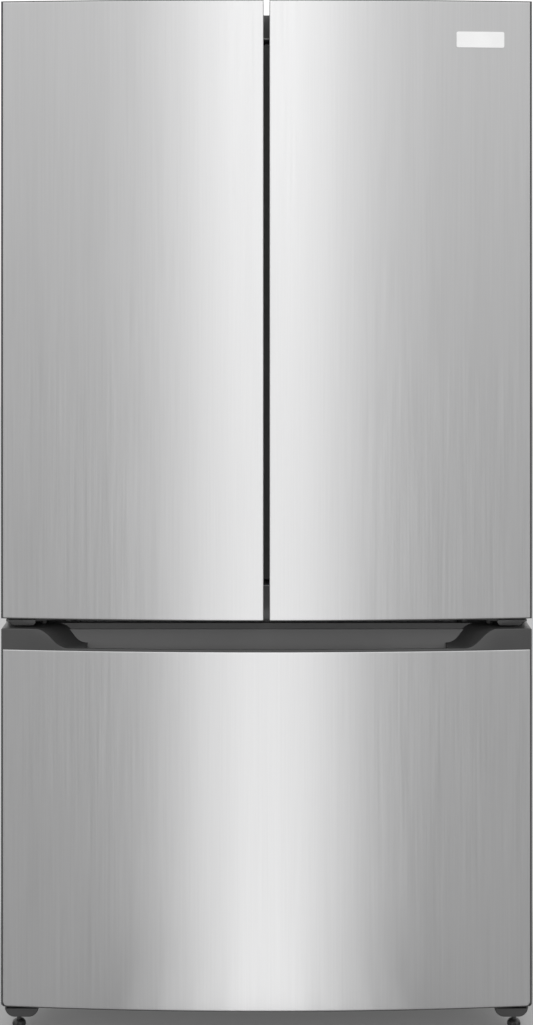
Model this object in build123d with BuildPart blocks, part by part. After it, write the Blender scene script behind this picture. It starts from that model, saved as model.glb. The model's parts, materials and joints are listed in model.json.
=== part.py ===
"""French door refrigerator: two bowed steel doors over a freezer drawer with a scooped handle.

Millimetres, +Z up, the front faces -Y. The origin is on the floor, at the middle of the footprint.
"""
from build123d import *
import os
from math import atan2, degrees, sqrt

os.makedirs("parts", exist_ok=True)

# Driving dimensions
WIDTH = 906
DEPTH = 730
HEIGHT = 1770
BOW = 26                        # how far the fronts swell between their two side edges
DOOR_EDGE = 62                  # a door's thickness at its side edge
DOOR_GAP = 10                   # between the two doors
GASKET_GAP = 12                 # between a door's back and the cabinet's front
SHEET = 1.5                     # cabinet sheet
SKIN = 1.2                      # door sheet
TRAY_CORNER = 8                 # bottom edges of drawers and baskets

# Depth stations
FRONT_Y = -DEPTH / 2
DOOR_BACK_Y = FRONT_Y + BOW + DOOR_EDGE
CABINET_FRONT_Y = DOOR_BACK_Y + GASKET_GAP
BACK_Y = DEPTH / 2
CABINET_BACK_Y = BACK_Y - 5

# Height stations
DRAWER_BOTTOM = 55
PANEL_TOP = 664                 # top edge of the drawer's steel panel
DRAWER_TOP = 700
DOOR_BOTTOM = 717
CABINET_BOTTOM = 60
CABINET_TOP = 1755

# Half widths
HALF = WIDTH / 2
CABINET_HALF = HALF - 2
LINER_HALF = 398                # inside of both compartments
LINER = 2                       # wall of a moulded liner
OPENING_HALF = LINER_HALF + LINER

# Compartments
FRESH_Z = (762, 1713)
FREEZER_Z = (112, 628)
LINER_BACK_Y = 300
STEP_Z = 352                    # the freezer floor steps up here, over the machine compartment
STEP_Y = 128
MACHINE_Y = 150
MACHINE_TOP = 330

# Door hinges
PIN_X = 430
PIN_Y = -310
PIN_RADIUS = 5
PIN_PLAY = 0.1

# The fronts lie on one large circle seen from above
BOW_RADIUS = (HALF**2 + BOW**2) / (2 * BOW)
BOW_CENTRE_Y = FRONT_Y + BOW_RADIUS

SIDES = {"left": -1, "right": 1}


def block(x_range, y_range, z_range, mode=Mode.ADD):
    """A box between two values on each axis."""
    ranges = (x_range, y_range, z_range)
    with Locations(tuple(sum(limits) / 2 for limits in ranges)):
        Box(*[limits[1] - limits[0] for limits in ranges], mode=mode)


def span(side, inner, outer):
    """The x range from inner to outer on one side of the middle."""
    return tuple(sorted((side * inner, side * outer)))


def rod(centre, axis, radius, length, mode=Mode.ADD):
    """A cylinder along X, Y or Z, centred on a point."""
    turn = {"X": (0, 90, 0), "Y": (90, 0, 0), "Z": (0, 0, 0)}[axis]
    with Locations(centre):
        Cylinder(radius, length, rotation=turn, mode=mode)


def bow_y(x, inset=0):
    """The y of the bowed front at x, set back into the door by inset."""
    return BOW_CENTRE_Y - sqrt((BOW_RADIUS - inset) ** 2 - x**2)


def bowed(x_range, inset, y_back):
    """Plan view of a door or a layer of it: bowed in front, flat behind."""
    left, right = x_range
    middle = (left + right) / 2
    with BuildSketch() as plan:
        with BuildLine():
            ThreePointArc(*[(x, bow_y(x, inset)) for x in (left, middle, right)])
            Polyline(
                (right, bow_y(right, inset)), (right, y_back), (left, y_back), (left, bow_y(left, inset))
            )
        make_face()
    return plan.sketch


def frame(outer_x, outer_z, border, y_range, mode=Mode.ADD):
    """A rectangular ring that stands in the XZ plane."""
    block(outer_x, y_range, outer_z, mode=mode)
    inner_x = (outer_x[0] + border, outer_x[1] - border)
    inner_z = (outer_z[0] + border, outer_z[1] - border)
    block(inner_x, y_range, inner_z, mode=Mode.SUBTRACT)


def tray(x_range, y_range, z_range, wall):
    """An open-topped box."""
    block(x_range, y_range, z_range)
    inner_x = (x_range[0] + wall, x_range[1] - wall)
    inner_y = (y_range[0] + wall, y_range[1] - wall)
    block(inner_x, inner_y, (z_range[0] + wall, z_range[1]), mode=Mode.SUBTRACT)


def keep(builder, name):
    """Labels a finished piece and writes it."""
    builder.part.label = name
    export_step(builder.part, f"parts/{name}.step")


# ---------------------------------------------------------------- cabinet

FLANGE_BOTTOM = FREEZER_Z[0] - LINER
FLANGE_TOP = FRESH_Z[1] + LINER
RAIL_Z = (FREEZER_Z[1] + LINER, FRESH_Z[0] - LINER)
RAIL_DEPTH = 25
INSIDE = CABINET_HALF - SHEET
OUTER_CORNER = 4

with BuildPart() as cabinet_wrapper:
    block((-CABINET_HALF, CABINET_HALF), (CABINET_FRONT_Y, CABINET_BACK_Y), (CABINET_BOTTOM, CABINET_TOP))
    fillet(cabinet_wrapper.edges().filter_by(Axis.Y).group_by(Axis.Z)[-1], OUTER_CORNER)
    block(
        (-INSIDE, INSIDE),
        (CABINET_FRONT_Y + SHEET, CABINET_BACK_Y),
        (CABINET_BOTTOM, CABINET_TOP - SHEET),
        mode=Mode.SUBTRACT,
    )
    block(
        (-OPENING_HALF, OPENING_HALF),
        (CABINET_FRONT_Y, CABINET_FRONT_Y + SHEET),
        (FLANGE_BOTTOM, FLANGE_TOP),
        mode=Mode.SUBTRACT,
    )
keep(cabinet_wrapper, "cabinet_wrapper")

with BuildPart() as centre_rail:
    block(
        (-OPENING_HALF, OPENING_HALF), (CABINET_FRONT_Y, CABINET_FRONT_Y + RAIL_DEPTH), RAIL_Z
    )
    block(
        (-OPENING_HALF, OPENING_HALF),
        (CABINET_FRONT_Y + SHEET, CABINET_FRONT_Y + RAIL_DEPTH),
        (RAIL_Z[0] + SHEET, RAIL_Z[1] - SHEET),
        mode=Mode.SUBTRACT,
    )
keep(centre_rail, "centre_rail")

with BuildPart() as fresh_food_liner:
    block(
        (-OPENING_HALF, OPENING_HALF),
        (CABINET_FRONT_Y, LINER_BACK_Y + LINER),
        (FRESH_Z[0] - LINER, FRESH_Z[1] + LINER),
    )
    block((-LINER_HALF, LINER_HALF), (CABINET_FRONT_Y, LINER_BACK_Y), FRESH_Z, mode=Mode.SUBTRACT)
keep(fresh_food_liner, "fresh_food_liner")


def freezer_side(wall):
    """Side view of the freezer space, with its step, grown outwards by wall."""
    low, high = FREEZER_Z[0] - wall, FREEZER_Z[1] + wall
    back, step_y, step_z = LINER_BACK_Y + wall, STEP_Y + wall, STEP_Z - wall
    with BuildSketch() as view:
        with BuildLine():
            Polyline(
                (CABINET_FRONT_Y, low), (step_y, low), (step_y, step_z), (back, step_z), (back, high),
                (CABINET_FRONT_Y, high), close=True,
            )
        make_face()
    return view.sketch


with BuildPart() as freezer_liner:
    with BuildSketch(Plane.YZ):
        add(freezer_side(LINER))
    extrude(amount=OPENING_HALF, both=True)
    with BuildSketch(Plane.YZ):
        add(freezer_side(0))
    extrude(amount=LINER_HALF, both=True, mode=Mode.SUBTRACT)
keep(freezer_liner, "freezer_liner")

BASE_TOP = CABINET_BOTTOM + 2
ROLLER_X = 400
ROLLER_Y = 300
ROLLER_RADIUS = 20
ROLLER_WIDTH = 16
AXLE_RADIUS = 4
CHEEK = 2                       # bracket cheeks that carry a roller between them
CHEEK_Y = (ROLLER_Y - 22, ROLLER_Y + 22)
CHEEK_Z = (12, CABINET_BOTTOM)

with BuildPart() as cabinet_base:
    block((-INSIDE, INSIDE), (CABINET_FRONT_Y + SHEET, CABINET_BACK_Y), (CABINET_BOTTOM, BASE_TOP))
    block((-INSIDE, INSIDE), (MACHINE_Y - SHEET, MACHINE_Y), (BASE_TOP, MACHINE_TOP + SHEET))
    block((-INSIDE, INSIDE), (MACHINE_Y, CABINET_BACK_Y), (MACHINE_TOP, MACHINE_TOP + SHEET))
    for side in SIDES.values():
        for offset in (-ROLLER_WIDTH / 2 - 1 - CHEEK, ROLLER_WIDTH / 2 + 1):
            cheek_x = side * ROLLER_X + offset
            block((cheek_x, cheek_x + CHEEK), CHEEK_Y, CHEEK_Z)
        rod((side * ROLLER_X, ROLLER_Y, ROLLER_RADIUS), "X", AXLE_RADIUS, ROLLER_WIDTH + 2)
keep(cabinet_base, "cabinet_base")

with BuildPart() as rear_rollers:
    for side in SIDES.values():
        rod((side * ROLLER_X, ROLLER_Y, ROLLER_RADIUS), "X", ROLLER_RADIUS, ROLLER_WIDTH)
    rim = rear_rollers.edges().filter_by(GeomType.CIRCLE)
    fillet(rim, 2)
    for side in SIDES.values():
        rod(
            (side * ROLLER_X, ROLLER_Y, ROLLER_RADIUS), "X", AXLE_RADIUS + PIN_PLAY, ROLLER_WIDTH,
            mode=Mode.SUBTRACT,
        )
keep(rear_rollers, "rear_rollers")

with BuildPart() as cabinet_foam:
    block((-INSIDE, INSIDE), (CABINET_FRONT_Y + SHEET, CABINET_BACK_Y), (BASE_TOP, CABINET_TOP - SHEET))
    block(
        (-OPENING_HALF, OPENING_HALF),
        (CABINET_FRONT_Y, LINER_BACK_Y + LINER),
        (FRESH_Z[0] - LINER, FRESH_Z[1] + LINER),
        mode=Mode.SUBTRACT,
    )
    with BuildSketch(Plane.YZ):
        add(freezer_side(LINER))
    extrude(amount=OPENING_HALF, both=True, mode=Mode.SUBTRACT)
    block(
        (-OPENING_HALF, OPENING_HALF),
        (CABINET_FRONT_Y, CABINET_FRONT_Y + RAIL_DEPTH),
        RAIL_Z,
        mode=Mode.SUBTRACT,
    )
    block(
        (-INSIDE, INSIDE), (MACHINE_Y - SHEET, CABINET_BACK_Y), (BASE_TOP, MACHINE_TOP + SHEET),
        mode=Mode.SUBTRACT,
    )
keep(cabinet_foam, "cabinet_foam")

BACK_HALF = CABINET_HALF - 2
BACK_SPLIT = MACHINE_TOP + 4
RIB_SIZE = (90, 1180)           # pressed ribs that stiffen the back sheet
RIB_CORNER = 20
RIB_PITCH = 210
RIB_COUNT = 4
RIB_SLOPE = 40
RIB_Z = 1050

with BuildPart() as cabinet_back:
    block(
        (-BACK_HALF, BACK_HALF), (CABINET_BACK_Y, CABINET_BACK_Y + SHEET), (BACK_SPLIT, CABINET_TOP - 3)
    )
    with BuildSketch(Plane.XZ.offset(-CABINET_BACK_Y - SHEET)):
        with Locations((0, RIB_Z)):
            with GridLocations(RIB_PITCH, 1, RIB_COUNT, 1):
                RectangleRounded(*RIB_SIZE, RIB_CORNER)
    extrude(amount=-(BACK_Y - CABINET_BACK_Y - SHEET), taper=RIB_SLOPE)
keep(cabinet_back, "cabinet_back")

GLAND = (-380, 120)             # where the mains cord enters
GLAND_RADIUS = 6
GLAND_COLLAR = 5
GLAND_LENGTH = 4
VENT_CENTRE = (40, 200)
VENT_PITCH = (110, 22)
VENT_COUNT = (6, 8)
VENT_SIZE = (90, 8)

with BuildPart() as compressor_cover:
    block(
        (-BACK_HALF, BACK_HALF), (CABINET_BACK_Y, CABINET_BACK_Y + SHEET), (BASE_TOP, BACK_SPLIT - 1)
    )
    with BuildSketch(Plane.XZ.offset(-CABINET_BACK_Y - SHEET)):
        with Locations(VENT_CENTRE):
            with GridLocations(*VENT_PITCH, *VENT_COUNT):
                SlotOverall(*VENT_SIZE)
    extrude(amount=SHEET, mode=Mode.SUBTRACT)
    gland_centre = (GLAND[0], CABINET_BACK_Y + GLAND_LENGTH / 2, GLAND[1])
    rod(gland_centre, "Y", GLAND_RADIUS + GLAND_COLLAR, GLAND_LENGTH)
    rod(gland_centre, "Y", GLAND_RADIUS, GLAND_LENGTH, mode=Mode.SUBTRACT)
keep(compressor_cover, "compressor_cover")

# ---------------------------------------------------------------- feet

FOOT_X = 428
FOOT_Y = -290
FOOT_RADIUS = 11.5
FOOT_SOLE = 6                   # radius of the flat that rests on the floor
FOOT_HEIGHT = 16
FOOT_LOBES = 8
SCREW_RADIUS = 4
SCREW_TOP = 50
LEG_X = (390, 448)
LEG_Y = (-330, -232)
LEG_Z = (33, 51)
LEG_WALL = 3
LEG_CORNER = 17                 # the leg cover is a shallow bowl in front view
LEG_POST_Y = (-262, -232)

with BuildPart() as front_legs:
    for side in SIDES.values():
        block(span(side, *LEG_X), LEG_Y, LEG_Z)
    fillet(front_legs.edges().filter_by(Axis.Y).group_by(Axis.Z)[0], LEG_CORNER)
    fillet(front_legs.edges().group_by(Axis.Z)[0], LEG_WALL)
    for side in SIDES.values():
        block(
            span(side, LEG_X[0] + LEG_CORNER, LEG_X[1] - LEG_CORNER),
            (LEG_Y[0] + LEG_WALL, LEG_POST_Y[0]),
            (LEG_Z[0] + 2 * LEG_WALL, LEG_Z[1]),
            mode=Mode.SUBTRACT,
        )
        block(
            span(side, LEG_X[0] + LEG_WALL, LEG_X[1] - LEG_WALL),
            (LEG_Y[0], LEG_POST_Y[0]),
            (LEG_Z[1] - LEG_WALL, LEG_Z[1]),
            mode=Mode.SUBTRACT,
        )
        block(span(side, *LEG_X), LEG_POST_Y, (LEG_Z[1] - LEG_WALL, CABINET_BOTTOM))
        rod(
            (side * FOOT_X, FOOT_Y, sum(LEG_Z) / 2), "Z", SCREW_RADIUS + PIN_PLAY, LEG_Z[1] - LEG_Z[0],
            mode=Mode.SUBTRACT,
        )
keep(front_legs, "front_legs")

with BuildPart() as levelling_foot:
    with BuildSketch(Plane.XZ):
        with BuildLine():
            Polyline((FOOT_SOLE, 0), (0, 0), (0, FOOT_HEIGHT), (FOOT_SOLE + 1, FOOT_HEIGHT))
            ThreePointArc(
                (FOOT_SOLE + 1, FOOT_HEIGHT), (FOOT_RADIUS, 0.65 * FOOT_HEIGHT), (FOOT_SOLE, 0)
            )
        make_face()
    revolve(axis=Axis.Z)
    with PolarLocations(FOOT_RADIUS + 1, FOOT_LOBES):
        Cylinder(2.5, 2 * FOOT_HEIGHT, mode=Mode.SUBTRACT)
    rod((0, 0, SCREW_TOP / 2), "Z", SCREW_RADIUS, SCREW_TOP)

for side_name, side in SIDES.items():
    with BuildPart() as foot:
        with Locations((side * FOOT_X, FOOT_Y, 0)):
            add(levelling_foot.part)
    keep(foot, f"{side_name}_foot")

# ---------------------------------------------------------------- machine compartment

COMPRESSOR = (-260, 255)
CAN_RADIUS = 82
CAN_Z = (78, 238)
CAN_ROUND = 45
CAN_PLATE = (180, 140, 5)
CAN_PLATE_Z = 76.5
CAN_FOOT_SPACING = (150, 110)
CAN_FOOT_RADIUS = 11
PIPE_X = -160
PIPE_LENGTH = 60

with BuildPart() as compressor:
    rod((*COMPRESSOR, sum(CAN_Z) / 2), "Z", CAN_RADIUS, CAN_Z[1] - CAN_Z[0])
    fillet(compressor.edges().filter_by(GeomType.CIRCLE), CAN_ROUND)
    with Locations((*COMPRESSOR, CAN_PLATE_Z)):
        Box(*CAN_PLATE)
    with Locations((*COMPRESSOR, (BASE_TOP + CAN_PLATE_Z) / 2)):
        with GridLocations(*CAN_FOOT_SPACING, 2, 2):
            Cylinder(CAN_FOOT_RADIUS, CAN_PLATE_Z - BASE_TOP)
    for pipe_y, pipe_z, pipe_radius in ((230, 150, 5), (280, 180, 4)):
        rod((PIPE_X, pipe_y, pipe_z), "X", pipe_radius, PIPE_LENGTH)
keep(compressor, "compressor")

FAN_PIN = 3
CONDENSER_FAN = (5, 257, 150)
CONDENSER_BASE = ((-45, 240), (180, 335), (BASE_TOP, BASE_TOP + 2))
CONDENSER_CENTRE = (140, CONDENSER_FAN[1], 132)
CONDENSER_FIN = (1.5, 140, 136)
CONDENSER_PITCH = 13
CONDENSER_FINS = 16
TUBE_RADIUS = 4
MOTOR_RADIUS = 20
MOTOR_X = (-42, -14)
SHAFT_SOCKET = 6

with BuildPart() as condenser:
    block(*CONDENSER_BASE)
    with Locations(CONDENSER_CENTRE):
        with GridLocations(CONDENSER_PITCH, 1, CONDENSER_FINS, 1):
            Box(*CONDENSER_FIN)
    with Locations(Plane(CONDENSER_CENTRE, z_dir=(1, 0, 0))):
        with GridLocations(33, 52, 4, 3):
            Cylinder(TUBE_RADIUS, CONDENSER_PITCH * CONDENSER_FINS)
    block((MOTOR_X[0], MOTOR_X[0] + 4), (245, 269), (BASE_TOP, CONDENSER_FAN[2]))
    rod((sum(MOTOR_X) / 2, *CONDENSER_FAN[1:]), "X", MOTOR_RADIUS, MOTOR_X[1] - MOTOR_X[0])
    rod(
        (MOTOR_X[1] - SHAFT_SOCKET / 2 + 1, *CONDENSER_FAN[1:]), "X", FAN_PIN + PIN_PLAY, SHAFT_SOCKET,
        mode=Mode.SUBTRACT,
    )
keep(condenser, "condenser")


def fan(plane, tip_radius, blades, depth, stub):
    """A fan rotor: a hub with a shaft stub behind it, and pitched blades. The plane's Z is its axis."""
    hub = 14
    root = 2
    chord = 26
    pitch = 32
    blade = tip_radius - hub + root
    with BuildPart(plane) as rotor:
        Cylinder(hub, depth)
        with PolarLocations(hub - root + blade / 2, blades):
            Box(blade, chord, 2, rotation=(pitch, 0, 0))
        with Locations((0, 0, -depth / 2 - stub / 2)):
            Cylinder(FAN_PIN, stub)
    return rotor


keep(fan(Plane(CONDENSER_FAN, z_dir=(1, 0, 0)), 60, 5, 20, 12), "condenser_fan")

# ---------------------------------------------------------------- freezer cooling

EVAPORATOR_FAN = (0, 252, 565)
EVAPORATOR_CENTRE = (0, 266, 436)
EVAPORATOR_FIN = (1.5, 50, 128)
EVAPORATOR_PITCH = 23
EVAPORATOR_FINS = 25
COVER_Y = (226, 229)
COVER_VENT_Z = 385
BRACKET_X = (62, 66)            # bracket behind the cover that carries the fan's motor
BRACKET_Y = (268, 272)
BRACKET_Z = (561, 569)

with BuildPart() as evaporator:
    with Locations(EVAPORATOR_CENTRE):
        with GridLocations(EVAPORATOR_PITCH, 1, EVAPORATOR_FINS, 1):
            Box(*EVAPORATOR_FIN)
    with Locations(Plane(EVAPORATOR_CENTRE, z_dir=(1, 0, 0))):
        with GridLocations(34, 28, 4, 2):
            Cylinder(TUBE_RADIUS, EVAPORATOR_PITCH * EVAPORATOR_FINS)
keep(evaporator, "evaporator")

with BuildPart() as evaporator_cover:
    block((-LINER_HALF + 1, LINER_HALF - 1), COVER_Y, (STEP_Z + 2, FREEZER_Z[1] - 1))
    with Locations((EVAPORATOR_FAN[0], COVER_Y[0], EVAPORATOR_FAN[2])):
        with PolarLocations(34, 12):
            Box(24, 20, 7, mode=Mode.SUBTRACT)
    with BuildSketch(Plane.XZ.offset(-COVER_Y[0])):
        with Locations((0, COVER_VENT_Z)):
            with GridLocations(46, 1, 14, 1):
                SlotOverall(34, 8)
    extrude(amount=-(COVER_Y[1] - COVER_Y[0]), mode=Mode.SUBTRACT)
    for side in SIDES.values():
        block(span(side, *BRACKET_X), (COVER_Y[1], BRACKET_Y[1]), BRACKET_Z)
    block((-BRACKET_X[1], BRACKET_X[1]), BRACKET_Y, BRACKET_Z)
    motor_y = sum(BRACKET_Y) / 2
    rod((0, motor_y + 10, EVAPORATOR_FAN[2]), "Y", MOTOR_RADIUS, 24)
    rod((0, motor_y, EVAPORATOR_FAN[2]), "Y", FAN_PIN + PIN_PLAY, 8, mode=Mode.SUBTRACT)
keep(evaporator_cover, "evaporator_cover")

keep(fan(Plane(EVAPORATOR_FAN, z_dir=(0, -1, 0)), 50, 5, 18, 10), "evaporator_fan")

# ---------------------------------------------------------------- fresh food compartment

SHELF_TOP = {"left_upper": 1470, "right_upper": 1440, "left_lower": 1240, "right_lower": 1210}
SHELF_X = (6, 392)
SHELF_Y = (-130, 270)
SHELF_THICK = 12
SHELF_RIM = 14
GLASS = 4
TRACK_FRONT_Y = 277
DUCT_Y = 285
SHELF_FRAME = 8                 # width of the frame beside the glass
ARM_X = (15.5, 379.5)
ARM_THICK = 3
ARM_DEPTH = 58                  # height of a cantilever arm at its back end, from the shelf's top
ARM_FRONT_DEPTH = 24
ARM_FRONT_Y = SHELF_Y[0] + 20
COVER_Z = (1000, 1014)
COVER_FRAME_Y = (-88, 298)
COVER_RIM = 10

# The glass that lies in the crisper cover's frame
cover_glass = (
    (-LINER_HALF + COVER_RIM, LINER_HALF - COVER_RIM),
    (COVER_FRAME_Y[0] + COVER_RIM, COVER_FRAME_Y[1] - COVER_RIM),
    (COVER_Z[1] - GLASS, COVER_Z[1]),
)


def shelf_glass_ranges(side, top):
    """Where a half-width shelf's glass lies."""
    x_range = span(side, SHELF_X[0] + SHELF_FRAME, SHELF_X[1] - SHELF_FRAME)
    return x_range, (SHELF_Y[0] + SHELF_FRAME, SHELF_Y[1] - SHELF_FRAME), (top - GLASS, top)


for shelf_name, top in SHELF_TOP.items():
    side = SIDES[shelf_name.split("_")[0]]
    with BuildPart() as shelf:
        block(span(side, *SHELF_X), SHELF_Y, (top - SHELF_THICK, top))
        fillet(shelf.edges().filter_by(Axis.X).group_by(Axis.Y)[0], 4)
        block(*shelf_glass_ranges(side, top), mode=Mode.SUBTRACT)
        block(
            span(side, SHELF_X[0] + SHELF_RIM, SHELF_X[1] - SHELF_RIM),
            (SHELF_Y[0] + SHELF_RIM, SHELF_Y[1] - SHELF_RIM),
            (top - SHELF_THICK, top),
            mode=Mode.SUBTRACT,
        )
        for arm_x in ARM_X:
            arm_range = span(side, arm_x, arm_x + ARM_THICK)
            with BuildSketch(Plane.YZ.offset(arm_range[0])):
                with BuildLine():
                    Polyline(
                        (ARM_FRONT_Y, top - SHELF_THICK), (TRACK_FRONT_Y, top - SHELF_THICK),
                        (TRACK_FRONT_Y, top - ARM_DEPTH), (ARM_FRONT_Y, top - ARM_FRONT_DEPTH), close=True,
                    )
                make_face()
            extrude(amount=ARM_THICK)
    keep(shelf, f"{shelf_name}_shelf")

with BuildPart() as shelf_glass:
    for shelf_name, top in SHELF_TOP.items():
        block(*shelf_glass_ranges(SIDES[shelf_name.split("_")[0]], top))
    block(*cover_glass)
keep(shelf_glass, "shelf_glass")

TRACK_Z = (1040, 1690)
TRACK_X = (17, 381)             # middles of the two tracks that carry one shelf
TRACK_HALF = 7
SLOT = (4, 14, 20)
SLOT_PITCH = 40
SLOT_REACH = 7                  # slots above and below the middle one

with BuildPart() as shelf_tracks:
    for side in SIDES.values():
        for track_x, track_back in zip(TRACK_X, (DUCT_Y, LINER_BACK_Y)):
            block(
                span(side, track_x - TRACK_HALF, track_x + TRACK_HALF), (TRACK_FRONT_Y, track_back), TRACK_Z
            )
    with Locations((0, TRACK_FRONT_Y, sum(TRACK_Z) / 2)):
        for track_x in TRACK_X:
            with GridLocations(2 * track_x, 1, 2, 1):
                with Locations([(0, 0, SLOT_PITCH * step) for step in range(-SLOT_REACH, SLOT_REACH + 1)]):
                    Box(*SLOT, mode=Mode.SUBTRACT)
keep(shelf_tracks, "shelf_tracks")

DUCT_HALF = 70
DUCT_BOTTOM = 1022
DUCT_ROUND = 10
OUTLET_Z = 1365
OUTLET_PITCH = (96, 120)
OUTLET_COUNT = (2, 5)
OUTLET_SIZE = (28, 7)

with BuildPart() as air_duct:
    block((-DUCT_HALF, DUCT_HALF), (DUCT_Y, LINER_BACK_Y), (DUCT_BOTTOM, FRESH_Z[1]))
    fillet(air_duct.edges().filter_by(Axis.Z).group_by(Axis.Y)[0], DUCT_ROUND)
    with BuildSketch(Plane.XZ.offset(-DUCT_Y)):
        with Locations((0, OUTLET_Z)):
            with GridLocations(*OUTLET_PITCH, *OUTLET_COUNT):
                SlotOverall(*OUTLET_SIZE)
    extrude(amount=-9, mode=Mode.SUBTRACT)
keep(air_duct, "air_duct")

LENS = ((-130, 130), (-40, 50), (FRESH_Z[1] - 7, FRESH_Z[1]))

with BuildPart() as light_lens:
    block(*LENS)
    fillet(light_lens.edges().group_by(Axis.Z)[0], 5)
keep(light_lens, "light_lens")

PANEL = ((-150, 150), (-195, -135), (FRESH_Z[1] - 14, FRESH_Z[1]))

with BuildPart() as control_panel:
    block(*PANEL)
    fillet(control_panel.edges().group_by(Axis.Z)[0], 6)
keep(control_panel, "control_panel")

# The crisper cover hangs rails that carry the two drawers by their rims
RAIL_LIP_Z = (958, 962)
CRISPER_Y = (-75, 250)
CRISPER_Z = (776, 988)
CRISPER_X = (17, 379)
CRISPER_WALL = 3
CRISPER_FRONT_TOP = 994
GRIP_HOLE_HALF = 60
GRIP_HOLE_Z = (950, 968)
RIM_X = (5, 391)
RAIL_Y = (-72, 250)
RAIL_LIP = 15                   # how far a rail's lip reaches under a drawer's rim
RAIL_WEB = 3
COVER_BAR = 14                  # half of the bar between the cover's two openings

with BuildPart() as crisper_cover:
    block((-LINER_HALF, LINER_HALF), COVER_FRAME_Y, COVER_Z)
    block(*cover_glass, mode=Mode.SUBTRACT)
    for side in SIDES.values():
        block(
            span(side, COVER_BAR, LINER_HALF - 2 * COVER_RIM),
            (COVER_FRAME_Y[0] + 2 * COVER_RIM, COVER_FRAME_Y[1] - 2 * COVER_RIM),
            COVER_Z,
            mode=Mode.SUBTRACT,
        )
        rail_x = LINER_HALF - 2
        block(span(side, rail_x - RAIL_WEB, rail_x), RAIL_Y, (RAIL_LIP_Z[0], COVER_Z[0]))
        block(span(side, rail_x - RAIL_LIP, rail_x), RAIL_Y, RAIL_LIP_Z)
    block((-RAIL_WEB, RAIL_WEB), RAIL_Y, (RAIL_LIP_Z[0], COVER_Z[0]))
    block((-RAIL_LIP, RAIL_LIP), RAIL_Y, RAIL_LIP_Z)
keep(crisper_cover, "crisper_cover")

for side_name, side in SIDES.items():
    with BuildPart() as crisper:
        block(span(side, *CRISPER_X), CRISPER_Y, CRISPER_Z)
        fillet(crisper.edges().group_by(Axis.Z)[0], TRAY_CORNER)
        block(span(side, *RIM_X), CRISPER_Y, (RAIL_LIP_Z[1] + 0.3, RAIL_LIP_Z[1] + 4))
        front_y = (CRISPER_Y[0] - 4, CRISPER_Y[0])
        block(span(side, *RIM_X), front_y, (CRISPER_Z[0], CRISPER_FRONT_TOP))
        block(
            span(side, CRISPER_X[0] + CRISPER_WALL, CRISPER_X[1] - CRISPER_WALL),
            (CRISPER_Y[0] + CRISPER_WALL, CRISPER_Y[1] - CRISPER_WALL),
            (CRISPER_Z[0] + CRISPER_WALL, CRISPER_Z[1]),
            mode=Mode.SUBTRACT,
        )
        grip_x = side * sum(RIM_X) / 2
        block((grip_x - GRIP_HOLE_HALF, grip_x + GRIP_HOLE_HALF), front_y, GRIP_HOLE_Z, mode=Mode.SUBTRACT)
    keep(crisper, f"{side_name}_crisper")

# ---------------------------------------------------------------- hinges

HINGE_PLATE = 4
COVER_X = (374, 450)            # plastic cover over a top hinge
COVER_HINGE_Y = (-262, -172)
COVER_HEIGHT = 14
COVER_WALL = 2
COVER_MOUTH_X = (384, 424)      # the hinge's neck leaves the cover here
TOP_PLATE = (68, 78, 6)
TOP_PLATE_CENTRE = (412, -219)
TOP_SCREW = 3
TOP_PIN_Z = (CABINET_TOP - 22, CABINET_TOP + 2)
NECK_FOOT = (402, -259)
NECK_WIDTH = 24
TOP_SCREWS = [(392, -200), (434, -200), (434, -240)]
MIDDLE_SCREWS = [345, 390, 435]
MIDDLE_PLATE_Z = (708, 712)
MIDDLE_SCREW_Z = 698
MIDDLE_SCREW = 2.5
MIDDLE_X = (331, 447)
MIDDLE_TAB_Z = (692, 714)
LOBE_X = (396, 438)             # thick, rounded lobe of the hinge under a door's pin
LOBE_Y = (-324, -296)
LOBE_Z = (702.5, 712)
KNOB_X = 384                    # screw head that sets the door's height
HINGE_TAB_Y = (CABINET_FRONT_Y - HINGE_PLATE, CABINET_FRONT_Y)

with BuildPart() as top_hinges:
    for side in SIDES.values():
        neck_mid = (side * (PIN_X + NECK_FOOT[0]) / 2, (PIN_Y + NECK_FOOT[1]) / 2)
        neck_x, neck_y = side * (NECK_FOOT[0] - PIN_X), NECK_FOOT[1] - PIN_Y
        with BuildSketch(Plane.XY.offset(CABINET_TOP)):
            with Locations((side * TOP_PLATE_CENTRE[0], TOP_PLATE_CENTRE[1])):
                RectangleRounded(*TOP_PLATE)
            with Locations(neck_mid):
                SlotCenterToCenter(
                    sqrt(neck_x**2 + neck_y**2), NECK_WIDTH, rotation=degrees(atan2(neck_y, neck_x))
                )
            with Locations([(side * x, y) for x, y in TOP_SCREWS]):
                Circle(TOP_SCREW, mode=Mode.SUBTRACT)
        extrude(amount=HINGE_PLATE)
        rod((side * PIN_X, PIN_Y, sum(TOP_PIN_Z) / 2), "Z", PIN_RADIUS, TOP_PIN_Z[1] - TOP_PIN_Z[0])
keep(top_hinges, "top_hinges")

with BuildPart() as hinge_covers:
    for side in SIDES.values():
        block(span(side, *COVER_X), COVER_HINGE_Y, (CABINET_TOP, CABINET_TOP + COVER_HEIGHT))
    fillet(hinge_covers.edges().group_by(Axis.Z)[-1], 6)
    for side in SIDES.values():
        block(
            span(side, COVER_X[0] + COVER_WALL, COVER_X[1] - COVER_WALL),
            (COVER_HINGE_Y[0] + COVER_WALL, COVER_HINGE_Y[1] - COVER_WALL),
            (CABINET_TOP, CABINET_TOP + COVER_HEIGHT - COVER_WALL),
            mode=Mode.SUBTRACT,
        )
        block(
            span(side, *COVER_MOUTH_X),
            (COVER_HINGE_Y[0], COVER_HINGE_Y[0] + COVER_WALL),
            (CABINET_TOP, CABINET_TOP + HINGE_PLATE + 1),
            mode=Mode.SUBTRACT,
        )
keep(hinge_covers, "hinge_covers")

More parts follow.
